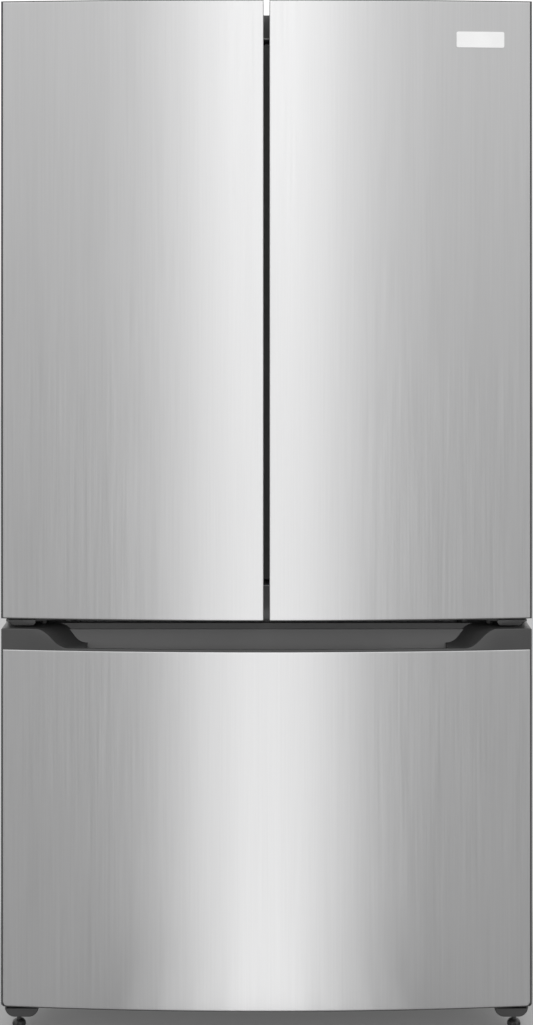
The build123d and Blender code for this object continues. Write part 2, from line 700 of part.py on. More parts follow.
with BuildPart() as middle_hinges:
    for side in SIDES.values():
        block(span(side, *LOBE_X), LOBE_Y, LOBE_Z)
    fillet(middle_hinges.edges().filter_by(Axis.Y).group_by(Axis.Z)[0], 6)
    for side in SIDES.values():
        with BuildSketch(Plane.XY.offset(MIDDLE_PLATE_Z[0])):
            with BuildLine():
                Polyline(
                    (side * MIDDLE_X[1], CABINET_FRONT_Y), (side * MIDDLE_X[1], -318),
                    (side * 441, LOBE_Y[0]), (side * 416, LOBE_Y[0]), (side * MIDDLE_X[0], -285),
                    (side * MIDDLE_X[0], CABINET_FRONT_Y), close=True,
                )
            make_face()
        extrude(amount=MIDDLE_PLATE_Z[1] - MIDDLE_PLATE_Z[0])
        block(span(side, *MIDDLE_X), HINGE_TAB_Y, MIDDLE_TAB_Z)
        rod((side * PIN_X, PIN_Y, MIDDLE_PLATE_Z[1] + 12), "Z", PIN_RADIUS, 26)
        rod((side * PIN_X, PIN_Y, MIDDLE_PLATE_Z[1] + 2), "Z", PIN_RADIUS + 4, 4)
        rod((side * KNOB_X, -298, MIDDLE_PLATE_Z[0]), "Z", 5, 12)
        for screw_x in MIDDLE_SCREWS:
            rod(
                (side * screw_x, sum(HINGE_TAB_Y) / 2, MIDDLE_SCREW_Z), "Y", MIDDLE_SCREW, HINGE_PLATE,
                mode=Mode.SUBTRACT,
            )
keep(middle_hinges, "middle_hinges")

with BuildPart() as hinge_screws:
    for side in SIDES.values():
        for screw_x, screw_y in TOP_SCREWS:
            rod((side * screw_x, screw_y, CABINET_TOP + HINGE_PLATE / 2), "Z", TOP_SCREW, HINGE_PLATE)
        with BuildSketch(Plane.XY.offset(CABINET_TOP + HINGE_PLATE)):
            with Locations([(side * x, y) for x, y in TOP_SCREWS]):
                RegularPolygon(2 * TOP_SCREW, 6)
        extrude(amount=4)
        for screw_x in MIDDLE_SCREWS:
            rod(
                (side * screw_x, sum(HINGE_TAB_Y) / 2, MIDDLE_SCREW_Z), "Y", MIDDLE_SCREW, HINGE_PLATE
            )
            rod((side * screw_x, HINGE_TAB_Y[0] - 1, MIDDLE_SCREW_Z), "Y", 2 * MIDDLE_SCREW, 2)
keep(hinge_screws, "hinge_screws")

# ---------------------------------------------------------------- upper doors

EDGE = 3                        # dark trim that shows at a door's side edge
TOP_EDGE = 1.5
RETURN_Y = -325                 # the steel front turns back along the sides as far as this
INNER_RETURN_Y = -350           # and only this far between the doors, in front of the finger recess
TRIM_WALL = 4.2
CAP = 8
GRIP_BLOCK = 28                 # solid edge that holds the finger recess
GRIP_Z = (812, 1650)
GRIP_DEPTH = 20
GRIP_Y = (-349, -302)
RECESS_Z = CABINET_TOP - 3      # the door's top corner is cut away over the hinge plate
RECESS_X = 390
RECESS_Y = -327
TRIM_INSET = 0.4                # the trim lies this far behind the steel's face
HINGE_BLOCK_Z = 1722            # solid corners of the trim that hold the pins' bushes
HINGE_BLOCK_Y = -331
PIN_BLOCK_X = 410
PIN_BLOCK_Y = (-328, -290)
PIN_BLOCK_TOP = 745
PIN_HOLE = 24
DOOR_LINER = 2
DOOR_LINER_X = (20, 440)
DOOR_LINER_BOTTOM = 728
DOOR_LINER_Y = (DOOR_BACK_Y, DOOR_BACK_Y + DOOR_LINER)
GASKET_Y = (DOOR_LINER_Y[1], CABINET_FRONT_Y - 0.3)
GASKET_WIDTH = 20
DOOR_GASKET_X = (8, 424)
DOOR_GASKET_Z = (735, 1742)
DIKE_X = (52, 388)
DIKE_Z = (772, 1703)
DIKE_WALL = 18
DIKE_BACK_Y = -215
DOOR_INNER = DOOR_GAP / 2

BIN_Z = {"lower": (800, 905), "middle": (1110, 1205), "upper": (1370, 1460)}
BIN_BACK_Y = {"lower": -198, "middle": -165, "upper": -165}
BIN_WALL = 3
DAIRY_Z = (1560, 1590)
DAIRY_ROOF_Z = (1662, 1665)
DAIRY_BACK_Y = -168

# The flipper bar closes the gap between the two doors
BAR_X = (-33, 32)
BAR_Y = (-265, -247)
BAR_Z = (772, 1703)
BAR_PIVOT = (-30, -262)
BAR_ROUND = 2.9
BAR_PIN = 2
BAR_PIN_LENGTH = 10
LUG = 7                         # height of the two lugs that carry the flipper bar
LUG_GAP = 0.5
LUG_BACK_Y = -252
LUG_FOOT_X = (-56, -36)
LUG_NOSE_X = (-40, -26)
LUG_NOSE_Y = -264.5


def door_layer(side, inner, outer, z_range, inset, y_back, mode=Mode.ADD):
    """Part of a bowed door between two distances from the middle."""
    with BuildSketch(Plane.XY.offset(z_range[0])) as layer:
        add(bowed(span(side, inner, outer), inset, y_back))
    extrude(layer.sketch, amount=z_range[1] - z_range[0], mode=mode)


def finger_recess(side):
    """Cuts the long finger recess, with sloping ends, into a door's inner edge."""
    x_mouth, x_floor = side * DOOR_INNER, side * (DOOR_INNER + GRIP_DEPTH)
    with BuildSketch(Plane.XZ.offset(-GRIP_Y[0])) as outline:
        with BuildLine():
            Polyline(
                (x_mouth, GRIP_Z[0]), (x_floor, GRIP_Z[0] + 30), (x_floor, GRIP_Z[1] - 30),
                (x_mouth, GRIP_Z[1]), close=True,
            )
        make_face()
    extrude(outline.sketch, amount=-(GRIP_Y[1] - GRIP_Y[0]), mode=Mode.SUBTRACT)


for side_name, side in SIDES.items():
    skin_x = (DOOR_INNER, HALF - EDGE)
    skin_z = (DOOR_BOTTOM + TOP_EDGE, HEIGHT - TOP_EDGE)
    inner_return = (
        span(side, skin_x[0], skin_x[0] + SKIN), (INNER_RETURN_Y, RETURN_Y), skin_z
    )
    inside_x = (DOOR_INNER + GRIP_BLOCK, HALF - TRIM_WALL)
    inside_z = (DOOR_BOTTOM + CAP, HEIGHT - CAP)
    hinge_block = (
        span(side, RECESS_X - 4, inside_x[1]), (HINGE_BLOCK_Y, DOOR_BACK_Y), (HINGE_BLOCK_Z, inside_z[1])
    )
    pin_block = (span(side, PIN_BLOCK_X, inside_x[1]), PIN_BLOCK_Y, (inside_z[0], PIN_BLOCK_TOP))
    recess = (span(side, RECESS_X, HALF), (RECESS_Y, DOOR_BACK_Y), (RECESS_Z, HEIGHT))

    with BuildPart() as door_skin:
        door_layer(side, *skin_x, skin_z, 0, RETURN_Y)
        fillet(door_skin.edges().filter_by(Axis.Z).group_by(Axis.Y)[0], 2)
        door_layer(
            side, skin_x[0] + SKIN, skin_x[1] - SKIN, skin_z, SKIN, RETURN_Y, mode=Mode.SUBTRACT
        )
        block(*inner_return, mode=Mode.SUBTRACT)
    keep(door_skin, f"{side_name}_door_skin")

    with BuildPart() as door_trim:
        door_layer(side, DOOR_INNER, HALF, (DOOR_BOTTOM, HEIGHT), TRIM_INSET, DOOR_BACK_Y)
        fillet(door_trim.edges().filter_by(Axis.Z).group_by(Axis.Y)[0], 1.5)
        door_layer(side, *skin_x, skin_z, -1, RETURN_Y, mode=Mode.SUBTRACT)
        door_layer(side, skin_x[0] + SKIN, skin_x[1] - SKIN, skin_z, SKIN, RETURN_Y)
        block(*inner_return)
        door_layer(side, *inside_x, inside_z, -1, DOOR_BACK_Y, mode=Mode.SUBTRACT)
        block(*hinge_block)
        block(*pin_block)
        block(*recess, mode=Mode.SUBTRACT)
        for pin_z in (DOOR_BOTTOM + PIN_HOLE / 2 - 1, RECESS_Z - PIN_HOLE / 2 + 1):
            rod((side * PIN_X, PIN_Y, pin_z), "Z", PIN_RADIUS + PIN_PLAY, PIN_HOLE, mode=Mode.SUBTRACT)
        finger_recess(side)
    keep(door_trim, f"{side_name}_door_trim")

    with BuildPart() as door_foam:
        door_layer(side, *inside_x, inside_z, SKIN, DOOR_BACK_Y)
        block(*hinge_block, mode=Mode.SUBTRACT)
        block(*pin_block, mode=Mode.SUBTRACT)
    keep(door_foam, f"{side_name}_door_foam")

    with BuildPart() as door_liner:
        block(span(side, *DOOR_LINER_X), DOOR_LINER_Y, (DOOR_LINER_BOTTOM, RECESS_Z - 1))
        block(span(side, *DIKE_X), (DOOR_LINER_Y[1], DIKE_BACK_Y), DIKE_Z)
        fillet(door_liner.edges().group_by(Axis.Y)[-1], 6)
        block(
            span(side, DIKE_X[0] + DIKE_WALL, DIKE_X[1] - DIKE_WALL),
            (DOOR_LINER_Y[1], DIKE_BACK_Y),
            (DIKE_Z[0] + DIKE_WALL, DIKE_Z[1] - DIKE_WALL),
            mode=Mode.SUBTRACT,
        )
        if side_name == "left":
            for lug_z in (BAR_Z[0] - LUG_GAP - LUG, BAR_Z[1] + LUG_GAP):
                block(LUG_FOOT_X, (DOOR_LINER_Y[1], LUG_BACK_Y), (lug_z, lug_z + LUG))
                block(LUG_NOSE_X, (LUG_NOSE_Y, LUG_BACK_Y), (lug_z, lug_z + LUG))
            for pin_z in (BAR_Z[0] + 3, BAR_Z[1] - 3):
                rod((*BAR_PIVOT, pin_z), "Z", BAR_PIN, BAR_PIN_LENGTH + 2)
    keep(door_liner, f"{side_name}_door_liner")

    with BuildPart() as door_gasket:
        frame(span(side, *DOOR_GASKET_X), DOOR_GASKET_Z, GASKET_WIDTH, GASKET_Y)
    keep(door_gasket, f"{side_name}_door_gasket")

    bin_x = span(side, DIKE_X[0] + DIKE_WALL, DIKE_X[1] - DIKE_WALL)
    with BuildPart() as door_bins:
        for bin_name, bin_z in BIN_Z.items():
            tray(bin_x, (DOOR_LINER_Y[1], BIN_BACK_Y[bin_name]), bin_z, BIN_WALL)
        fillet(door_bins.edges().filter_by(Axis.Z).group_by(Axis.Y)[-1], 2)
        if side_name == "left":
            dairy_y = (DOOR_LINER_Y[1], DAIRY_BACK_Y - 4)
            tray(bin_x, dairy_y, DAIRY_Z, BIN_WALL)
            for end_x in (bin_x[0], bin_x[1] - BIN_WALL):
                block((end_x, end_x + BIN_WALL), dairy_y, (DAIRY_Z[0], DAIRY_ROOF_Z[0]))
            block(bin_x, (DOOR_LINER_Y[1], DAIRY_BACK_Y - 12), DAIRY_ROOF_Z)
    keep(door_bins, f"{side_name}_door_bins")

LID_X = (-366, -74)
LID_Z = (1563, 1661)
LID_GRIP = ((-250, -190), (DAIRY_BACK_Y, DAIRY_BACK_Y + 9), (1566, 1570))
LID_AXIS = (DAIRY_BACK_Y - 5, 1657)

with BuildPart() as dairy_lid:
    block(LID_X, (DAIRY_BACK_Y - BIN_WALL, DAIRY_BACK_Y), LID_Z)
    fillet(dairy_lid.edges().filter_by(Axis.X).group_by(Axis.Y)[-1], 1)
    block(LID_X, (LID_AXIS[0] - 2, DAIRY_BACK_Y - BIN_WALL), (LID_AXIS[1] - 2, LID_AXIS[1] + 2))
    block(*LID_GRIP)
keep(dairy_lid, "dairy_lid")

with BuildPart() as flipper_bar:
    with BuildSketch(Plane.XY.offset(BAR_Z[0])):
        with Locations((sum(BAR_X) / 2, sum(BAR_Y) / 2)):
            RectangleRounded(BAR_X[1] - BAR_X[0], BAR_Y[1] - BAR_Y[0], BAR_ROUND)
    extrude(amount=BAR_Z[1] - BAR_Z[0])
    for pin_z in (BAR_Z[0] + BAR_PIN_LENGTH / 2, BAR_Z[1] - BAR_PIN_LENGTH / 2):
        rod((*BAR_PIVOT, pin_z), "Z", BAR_PIN + PIN_PLAY, BAR_PIN_LENGTH, mode=Mode.SUBTRACT)
keep(flipper_bar, "flipper_bar")

BADGE_X = (323, 405)
BADGE_Z = (1690, 1717)
BADGE_PROUD = 1.5
BADGE_CORNER = 3

with BuildPart() as badge:
    with BuildSketch(Plane.XZ.offset(-FRONT_Y)):
        with Locations((sum(BADGE_X) / 2, sum(BADGE_Z) / 2)):
            RectangleRounded(BADGE_X[1] - BADGE_X[0], BADGE_Z[1] - BADGE_Z[0], BADGE_CORNER)
    extrude(amount=-40)
    with BuildSketch(Plane.XY.offset(BADGE_Z[0])):
        add(bowed((BADGE_X[0] - 5, BADGE_X[1] + 5), -BADGE_PROUD, -300))
        add(bowed((BADGE_X[0] - 6, BADGE_X[1] + 6), 0, -299), mode=Mode.SUBTRACT)
    extrude(amount=BADGE_Z[1] - BADGE_Z[0], mode=Mode.INTERSECT)
keep(badge, "badge")

# ---------------------------------------------------------------- freezer drawer

HANDLE_BOTTOM = 620
DRAWER_CORNER = 6
POCKET_BOTTOM = 640
LIP_TOP = 668
LIP_THICK = 6
SCOOP_BACK_Y = -289
SCOOP_FRONT_Y = -346
SCOOP_FRONT_HALF = (340, 392)   # half width of the scoop's mouth, at the lip and at the top
SCOOP_BACK_HALF = (309, 357)    # and at its back wall
COVE_TOP = 690                  # a coved ledge runs along the foot of the back wall
COVE_FOOT_Y = -312
FREEZER_LINER_X = 435
FREEZER_LINER_Z = (75, 690)
FREEZER_GASKET_X = 424
FREEZER_GASKET_Z = (84, 680)
freezer_inside = HALF - TRIM_WALL


def scoop_outline(y, half_widths):
    """Front view of the scoop's upper part: narrow at the lip, flaring in an S to the top edge."""
    low_half, high_half = half_widths
    above = DRAWER_TOP + 1
    mid = ((low_half + high_half) / 2, (LIP_TOP + DRAWER_TOP) / 2)
    with BuildSketch(Plane.XZ.offset(-y)) as outline:
        with BuildLine():
            flare = Spline(
                (low_half, LIP_TOP), mid, (high_half, DRAWER_TOP), tangents=[(1, 0.15), (1, 0.15)]
            )
            side_line = Line((high_half, DRAWER_TOP), (high_half, above))
            mirror(flare, about=Plane.YZ)
            mirror(side_line, about=Plane.YZ)
            Line((-high_half, above), (high_half, above))
            Line((-low_half, LIP_TOP), (low_half, LIP_TOP))
        make_face()
    return outline.sketch


with BuildPart() as freezer_handle:
    door_layer(1, -HALF, HALF, (HANDLE_BOTTOM, DRAWER_TOP), TRIM_INSET, DOOR_BACK_Y)
    fillet(freezer_handle.edges().filter_by(Axis.Y).group_by(Axis.Z)[-1], 3)
    fillet(freezer_handle.edges().group_by(Axis.Z)[-1].group_by(Axis.Y)[0], 2)
    door_layer(
        1, -HALF + EDGE, HALF - EDGE, (HANDLE_BOTTOM, PANEL_TOP), -1, RETURN_Y, mode=Mode.SUBTRACT
    )
    door_layer(
        1, -HALF + EDGE + SKIN, HALF - EDGE - SKIN, (HANDLE_BOTTOM, PANEL_TOP), SKIN, RETURN_Y
    )
    loft(
        sections=[
            scoop_outline(SCOOP_FRONT_Y, SCOOP_FRONT_HALF),
            scoop_outline(SCOOP_BACK_Y, SCOOP_BACK_HALF),
        ],
        ruled=True,
        mode=Mode.SUBTRACT,
    )
    extrude(
        scoop_outline(FRONT_Y - 5, SCOOP_FRONT_HALF), amount=-(SCOOP_FRONT_Y - FRONT_Y + 5),
        mode=Mode.SUBTRACT,
    )
    door_layer(
        1, -SCOOP_BACK_HALF[0], SCOOP_BACK_HALF[0], (POCKET_BOTTOM, LIP_TOP + 1), LIP_THICK,
        SCOOP_BACK_Y, mode=Mode.SUBTRACT,
    )
    with BuildSketch(Plane.YZ):
        with BuildLine():
            Polyline(
                (COVE_FOOT_Y, POCKET_BOTTOM), (SCOOP_BACK_Y + 1, POCKET_BOTTOM),
                (SCOOP_BACK_Y + 1, COVE_TOP), (SCOOP_BACK_Y - 3, COVE_TOP),
            )
            ThreePointArc(
                (SCOOP_BACK_Y - 3, COVE_TOP), (SCOOP_BACK_Y - 8, LIP_TOP - 1), (COVE_FOOT_Y, POCKET_BOTTOM)
            )
        make_face()
    extrude(amount=SCOOP_BACK_HALF[1], both=True)
keep(freezer_handle, "freezer_handle")

with BuildPart() as freezer_skin:
    door_layer(1, -HALF + EDGE, HALF - EDGE, (DRAWER_BOTTOM + TOP_EDGE, PANEL_TOP), 0, RETURN_Y)
    fillet(freezer_skin.edges().filter_by(Axis.Z).group_by(Axis.Y)[0], 2)
    door_layer(
        1, -HALF + EDGE + SKIN, HALF - EDGE - SKIN, (DRAWER_BOTTOM, PANEL_TOP), SKIN, RETURN_Y,
        mode=Mode.SUBTRACT,
    )
keep(freezer_skin, "freezer_skin")

with BuildPart() as freezer_trim:
    door_layer(1, -HALF, HALF, (DRAWER_BOTTOM, HANDLE_BOTTOM), TRIM_INSET, DOOR_BACK_Y)
    fillet(freezer_trim.edges().filter_by(Axis.Y).group_by(Axis.Z)[0], DRAWER_CORNER)
    door_layer(
        1, -HALF + EDGE, HALF - EDGE, (DRAWER_BOTTOM + TOP_EDGE, HANDLE_BOTTOM), -1, RETURN_Y,
        mode=Mode.SUBTRACT,
    )
    door_layer(
        1, -HALF + EDGE + SKIN, HALF - EDGE - SKIN, (DRAWER_BOTTOM + TOP_EDGE, HANDLE_BOTTOM), SKIN,
        RETURN_Y,
    )
    door_layer(
        1, -freezer_inside, freezer_inside, (DRAWER_BOTTOM + CAP, HANDLE_BOTTOM), -1, DOOR_BACK_Y,
        mode=Mode.SUBTRACT,
    )
keep(freezer_trim, "freezer_trim")

with BuildPart() as freezer_foam:
    door_layer(
        1, -freezer_inside, freezer_inside, (DRAWER_BOTTOM + CAP, HANDLE_BOTTOM), SKIN, DOOR_BACK_Y
    )
keep(freezer_foam, "freezer_foam")

with BuildPart() as freezer_door_liner:
    block((-FREEZER_LINER_X, FREEZER_LINER_X), DOOR_LINER_Y, FREEZER_LINER_Z)
keep(freezer_door_liner, "freezer_door_liner")

with BuildPart() as freezer_gasket:
    frame((-FREEZER_GASKET_X, FREEZER_GASKET_X), FREEZER_GASKET_Z, GASKET_WIDTH, GASKET_Y)
keep(freezer_gasket, "freezer_gasket")

# Full-extension slides, nested one inside the other on each side of the freezer. Each is a channel
# with its flanges above and below: its web lies between two x values.
SLIDE_Y = (-248, 120)
SLIDE_Z = 322.5
OUTER_X = (386, 396)
MIDDLE_SLIDE_X = (381, 392)
INNER_X = (372, 391)
CHANNEL_WALL = 3
OUTER_HALF = 22
OUTER_FLANGE = 7
MIDDLE_HALF = 14
MIDDLE_FLANGE = 5
INNER_HALF = 8
LEDGE_X = (356, INNER_X[0])
LEDGE_Z = (SLIDE_Z - INNER_HALF, SLIDE_Z - INNER_HALF + 4)
SLIDE_TAB_X = (352, 380)
SLIDE_TAB_Z = (280, 370)


def slide_z(half):
    """A slide's z range, half of it above the slide's middle."""
    return SLIDE_Z - half, SLIDE_Z + half


with BuildPart() as slide_outer:
    for side in SIDES.values():
        block(span(side, OUTER_X[0], LINER_HALF), SLIDE_Y, slide_z(OUTER_HALF))
        block(span(side, *OUTER_X), SLIDE_Y, slide_z(OUTER_HALF - OUTER_FLANGE), mode=Mode.SUBTRACT)
keep(slide_outer, "slide_outer")

with BuildPart() as slide_middle:
    for side in SIDES.values():
        middle_x = span(side, MIDDLE_SLIDE_X[0], MIDDLE_SLIDE_X[1] + CHANNEL_WALL)
        block(middle_x, SLIDE_Y, slide_z(MIDDLE_HALF))
        block(
            span(side, *MIDDLE_SLIDE_X), SLIDE_Y, slide_z(MIDDLE_HALF - MIDDLE_FLANGE), mode=Mode.SUBTRACT
        )
keep(slide_middle, "slide_middle")

with BuildPart() as slide_inner:
    for side in SIDES.values():
        block(span(side, *INNER_X), SLIDE_Y, slide_z(INNER_HALF))
        block(span(side, *LEDGE_X), SLIDE_Y, LEDGE_Z)
        tab_y = (DOOR_LINER_Y[1], DOOR_LINER_Y[1] + CHANNEL_WALL)
        block(span(side, *SLIDE_TAB_X), tab_y, SLIDE_TAB_Z)
        block(
            span(side, INNER_X[0], INNER_X[0] + CHANNEL_WALL), (tab_y[1], SLIDE_Y[0]), slide_z(INNER_HALF)
        )
keep(slide_inner, "slide_inner")

BASKET_HALF = 350
BASKET_WALL = 3
BASKET_Y = (-266, 112)
BASKET_Z = (136, 430)
BASKET_LUG = 370
BASKET_RIM = 6
RIM_HEIGHT = 4

with BuildPart() as lower_basket:
    block((-BASKET_HALF, BASKET_HALF), BASKET_Y, BASKET_Z)
    fillet(lower_basket.edges().group_by(Axis.Z)[0], TRAY_CORNER)
    block(
        (-BASKET_LUG, BASKET_LUG), (SLIDE_Y[0], SLIDE_Y[1] - 10), (LEDGE_Z[1], LEDGE_Z[1] + RIM_HEIGHT)
    )
    block(
        (-BASKET_HALF - BASKET_RIM, BASKET_HALF + BASKET_RIM), BASKET_Y,
        (BASKET_Z[1] - RIM_HEIGHT, BASKET_Z[1]),
    )
    block(
        (-BASKET_HALF + BASKET_WALL, BASKET_HALF - BASKET_WALL),
        (BASKET_Y[0] + BASKET_WALL, BASKET_Y[1] - BASKET_WALL),
        (BASKET_Z[0] + BASKET_WALL, BASKET_Z[1]),
        mode=Mode.SUBTRACT,
    )
keep(lower_basket, "lower_basket")

UPPER_BASKET_HALF = 340
UPPER_RIM_HALF = 355
TRAY_Y = (-258, -60)
TRAY_Z = (350, 452)

with BuildPart() as upper_basket:
    block((-UPPER_BASKET_HALF, UPPER_BASKET_HALF), TRAY_Y, TRAY_Z)
    fillet(upper_basket.edges().group_by(Axis.Z)[0], TRAY_CORNER)
    block(
        (-UPPER_RIM_HALF, UPPER_RIM_HALF), TRAY_Y, (BASKET_Z[1] + 0.3, BASKET_Z[1] + RIM_HEIGHT)
    )
    block(
        (-UPPER_BASKET_HALF + BASKET_WALL, UPPER_BASKET_HALF - BASKET_WALL),
        (TRAY_Y[0] + BASKET_WALL, TRAY_Y[1] - BASKET_WALL),
        (TRAY_Z[0] + BASKET_WALL, TRAY_Z[1]),
        mode=Mode.SUBTRACT,
    )
keep(upper_basket, "upper_basket")
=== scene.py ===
import json
from math import cos, pi, radians, sin, sqrt

import bmesh
import bpy
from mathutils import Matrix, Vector

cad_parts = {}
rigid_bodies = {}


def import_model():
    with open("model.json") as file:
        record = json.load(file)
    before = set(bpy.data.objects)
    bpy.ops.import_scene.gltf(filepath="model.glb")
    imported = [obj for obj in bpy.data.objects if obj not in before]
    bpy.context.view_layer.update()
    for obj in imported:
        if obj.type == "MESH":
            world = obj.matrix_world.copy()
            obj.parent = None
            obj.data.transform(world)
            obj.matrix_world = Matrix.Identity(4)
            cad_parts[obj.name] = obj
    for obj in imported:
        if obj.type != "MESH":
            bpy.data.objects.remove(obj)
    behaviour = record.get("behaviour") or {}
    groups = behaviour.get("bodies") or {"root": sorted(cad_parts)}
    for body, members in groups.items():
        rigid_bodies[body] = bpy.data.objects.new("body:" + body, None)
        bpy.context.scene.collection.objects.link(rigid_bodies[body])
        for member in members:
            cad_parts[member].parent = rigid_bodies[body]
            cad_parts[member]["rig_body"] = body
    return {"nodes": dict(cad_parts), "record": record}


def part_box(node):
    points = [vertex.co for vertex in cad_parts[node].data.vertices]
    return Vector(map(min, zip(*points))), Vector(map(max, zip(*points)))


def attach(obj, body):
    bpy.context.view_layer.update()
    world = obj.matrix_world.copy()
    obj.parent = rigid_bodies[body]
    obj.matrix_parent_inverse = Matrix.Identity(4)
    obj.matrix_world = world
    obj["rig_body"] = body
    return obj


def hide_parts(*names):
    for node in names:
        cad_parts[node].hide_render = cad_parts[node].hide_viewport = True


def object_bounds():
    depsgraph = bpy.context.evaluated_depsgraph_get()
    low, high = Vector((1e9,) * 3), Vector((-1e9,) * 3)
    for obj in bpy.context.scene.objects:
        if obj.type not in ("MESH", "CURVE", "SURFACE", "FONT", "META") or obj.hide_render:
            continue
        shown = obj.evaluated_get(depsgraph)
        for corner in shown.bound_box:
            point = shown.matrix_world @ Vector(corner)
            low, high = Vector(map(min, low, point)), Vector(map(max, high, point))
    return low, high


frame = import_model()
cad_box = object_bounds()
NODES = frame["nodes"]
MM = 0.001

# ---------------------------------------------------------------- materials


def new_material(name, base, metallic=0.0, roughness=0.5, **sockets):
    """A Principled material; sockets are further inputs by name, with _ for a space."""
    material = bpy.data.materials.new(name)
    material.use_nodes = True
    shader = material.node_tree.nodes["Principled BSDF"]
    shader.inputs["Base Color"].default_value = (*base, 1)
    shader.inputs["Metallic"].default_value = metallic
    shader.inputs["Roughness"].default_value = roughness
    for key, value in sockets.items():
        shader.inputs[key.replace("_", " ")].default_value = value
    return material


def node(material, kind, **values):
    """Adds a shader node; a value goes to the attribute or the input of that name."""
    made = material.node_tree.nodes.new(kind)
    for key, value in values.items():
        if hasattr(made, key):
            setattr(made, key, value)
        else:
            made.inputs[key.replace("_", " ")].default_value = value
    return made


def link(material, source, target):
    material.node_tree.links.new(source, target)


def noise(material, scale, stretch=(1, 1, 1), detail=3, offset=0.0):
    """Noise in the object's own space, stretched along its axes."""
    place = node(material, "ShaderNodeTexCoord")
    mapping = node(material, "ShaderNodeMapping", Scale=stretch, Location=(offset, offset, offset))
    texture = node(material, "ShaderNodeTexNoise", Scale=scale, Detail=detail)
    link(material, place.outputs["Object"], mapping.inputs["Vector"])
    link(material, mapping.outputs["Vector"], texture.inputs["Vector"])
    return texture.outputs["Fac"]


def remap(material, value, low, high, start=0.3, end=0.7):
    """Maps a 0 to 1 pattern onto low to high."""
    ramp = node(material, "ShaderNodeMapRange", From_Min=start, From_Max=end, To_Min=low, To_Max=high)
    link(material, value, ramp.inputs["Value"])
    return ramp.outputs["Result"]


def vary_colour(material, pattern, dark, light):
    """Varies the base colour between two colours by a pattern."""
    ramp = node(material, "ShaderNodeValToRGB")
    ramp.color_ramp.elements[0].position = 0.3
    ramp.color_ramp.elements[1].position = 0.7
    ramp.color_ramp.elements[0].color = (*dark, 1)
    ramp.color_ramp.elements[1].color = (*light, 1)
    link(material, pattern, ramp.inputs["Fac"])
    shader = material.node_tree.nodes["Principled BSDF"]
    link(material, ramp.outputs["Color"], shader.inputs["Base Color"])


def vary_roughness(material, pattern, low, high):
    shader = material.node_tree.nodes["Principled BSDF"]
    link(material, remap(material, pattern, low, high), shader.inputs["Roughness"])


def add_bump(material, pattern, strength, distance):
    """Bumps the surface by a pattern; distance is in metres."""
    shader = material.node_tree.nodes["Principled BSDF"]
    bump = node(material, "ShaderNodeBump", Strength=strength, Distance=distance)
    link(material, pattern, bump.inputs["Height"])
    link(material, bump.outputs["Normal"], shader.inputs["Normal"])


def shade(grey, tint=(1, 1, 1)):
    return tuple(grey * part for part in tint)


def brushed_steel():
    """Satin stainless sheet with a fine vertical grain and faint broad streaks."""
    material = new_material(
        "door_steel", shade(0.5), metallic=1, roughness=0.3, Anisotropic=0.55, Anisotropic_Rotation=0.25
    )
    grain = noise(material, 420, stretch=(1, 1, 0.012), detail=4)
    streaks = noise(material, 26, stretch=(1, 1, 0.02), detail=2, offset=3.1)
    mixed = node(material, "ShaderNodeMix", Factor=0.35)
    link(material, grain, mixed.inputs["A"])
    link(material, streaks, mixed.inputs["B"])
    vary_colour(material, mixed.outputs["Result"], shade(0.485, (1, 1, 1.005)), shade(0.525, (1, 1, 1.005)))
    vary_roughness(material, grain, 0.28, 0.34)
    add_bump(material, grain, 0.02, 0.0001)
    tangent = node(material, "ShaderNodeTangent", direction_type="RADIAL", axis="Z")
    shader = material.node_tree.nodes["Principled BSDF"]
    link(material, tangent.outputs["Tangent"], shader.inputs["Tangent"])
    return material


def moulded_plastic(name, grey, roughness=0.5, tint=(1, 1, 1), grain=1400, depth=0.00008):
    """Moulded plastic with a fine spark-eroded grain and slight mottling."""
    material = new_material(name, shade(grey, tint), roughness=roughness)
    fine = noise(material, grain, detail=2)
    broad = noise(material, 9, detail=3, offset=1.7)
    vary_colour(material, broad, shade(grey * 0.93, tint), shade(grey * 1.06, tint))
    vary_roughness(material, fine, roughness - 0.05, roughness + 0.07)
    add_bump(material, fine, 0.5, depth)
    return material


def enamelled_sheet(name, grey, roughness=0.42, tint=(1, 1, 1)):
    """Painted sheet steel with a pebbled enamel surface."""
    material = new_material(name, shade(grey, tint), roughness=roughness, Coat_Weight=0.15)
    pebble = noise(material, 330, detail=1)
    broad = noise(material, 4, detail=4, offset=0.8)
    vary_colour(material, broad, shade(grey * 0.95, tint), shade(grey * 1.04, tint))
    vary_roughness(material, broad, roughness - 0.03, roughness + 0.06)
    add_bump(material, pebble, 0.35, 0.0004)
    return material


def galvanised(name, grey):
    """Zinc-coated sheet with soft spangles."""
    material = new_material(name, shade(grey), metallic=0.85, roughness=0.45)
    place = node(material, "ShaderNodeTexCoord")
    cells = node(material, "ShaderNodeTexVoronoi", Scale=160)
    link(material, place.outputs["Object"], cells.inputs["Vector"])
    vary_colour(material, cells.outputs["Color"], shade(grey * 0.95), shade(grey * 1.03))
    vary_roughness(material, noise(material, 40), 0.36, 0.55)
    return material


def bright_metal(name, grey, roughness=0.25, stretch=(1, 1, 1)):
    """Plated or drawn metal with fine drawing marks."""
    material = new_material(name, shade(grey), metallic=1, roughness=roughness)
    marks = noise(material, 600, stretch=stretch, detail=3)
    vary_colour(material, marks, shade(grey * 0.9), shade(grey * 1.07))
    vary_roughness(material, marks, roughness - 0.05, roughness + 0.1)
    add_bump(material, marks, 0.1, 0.00008)
    return material


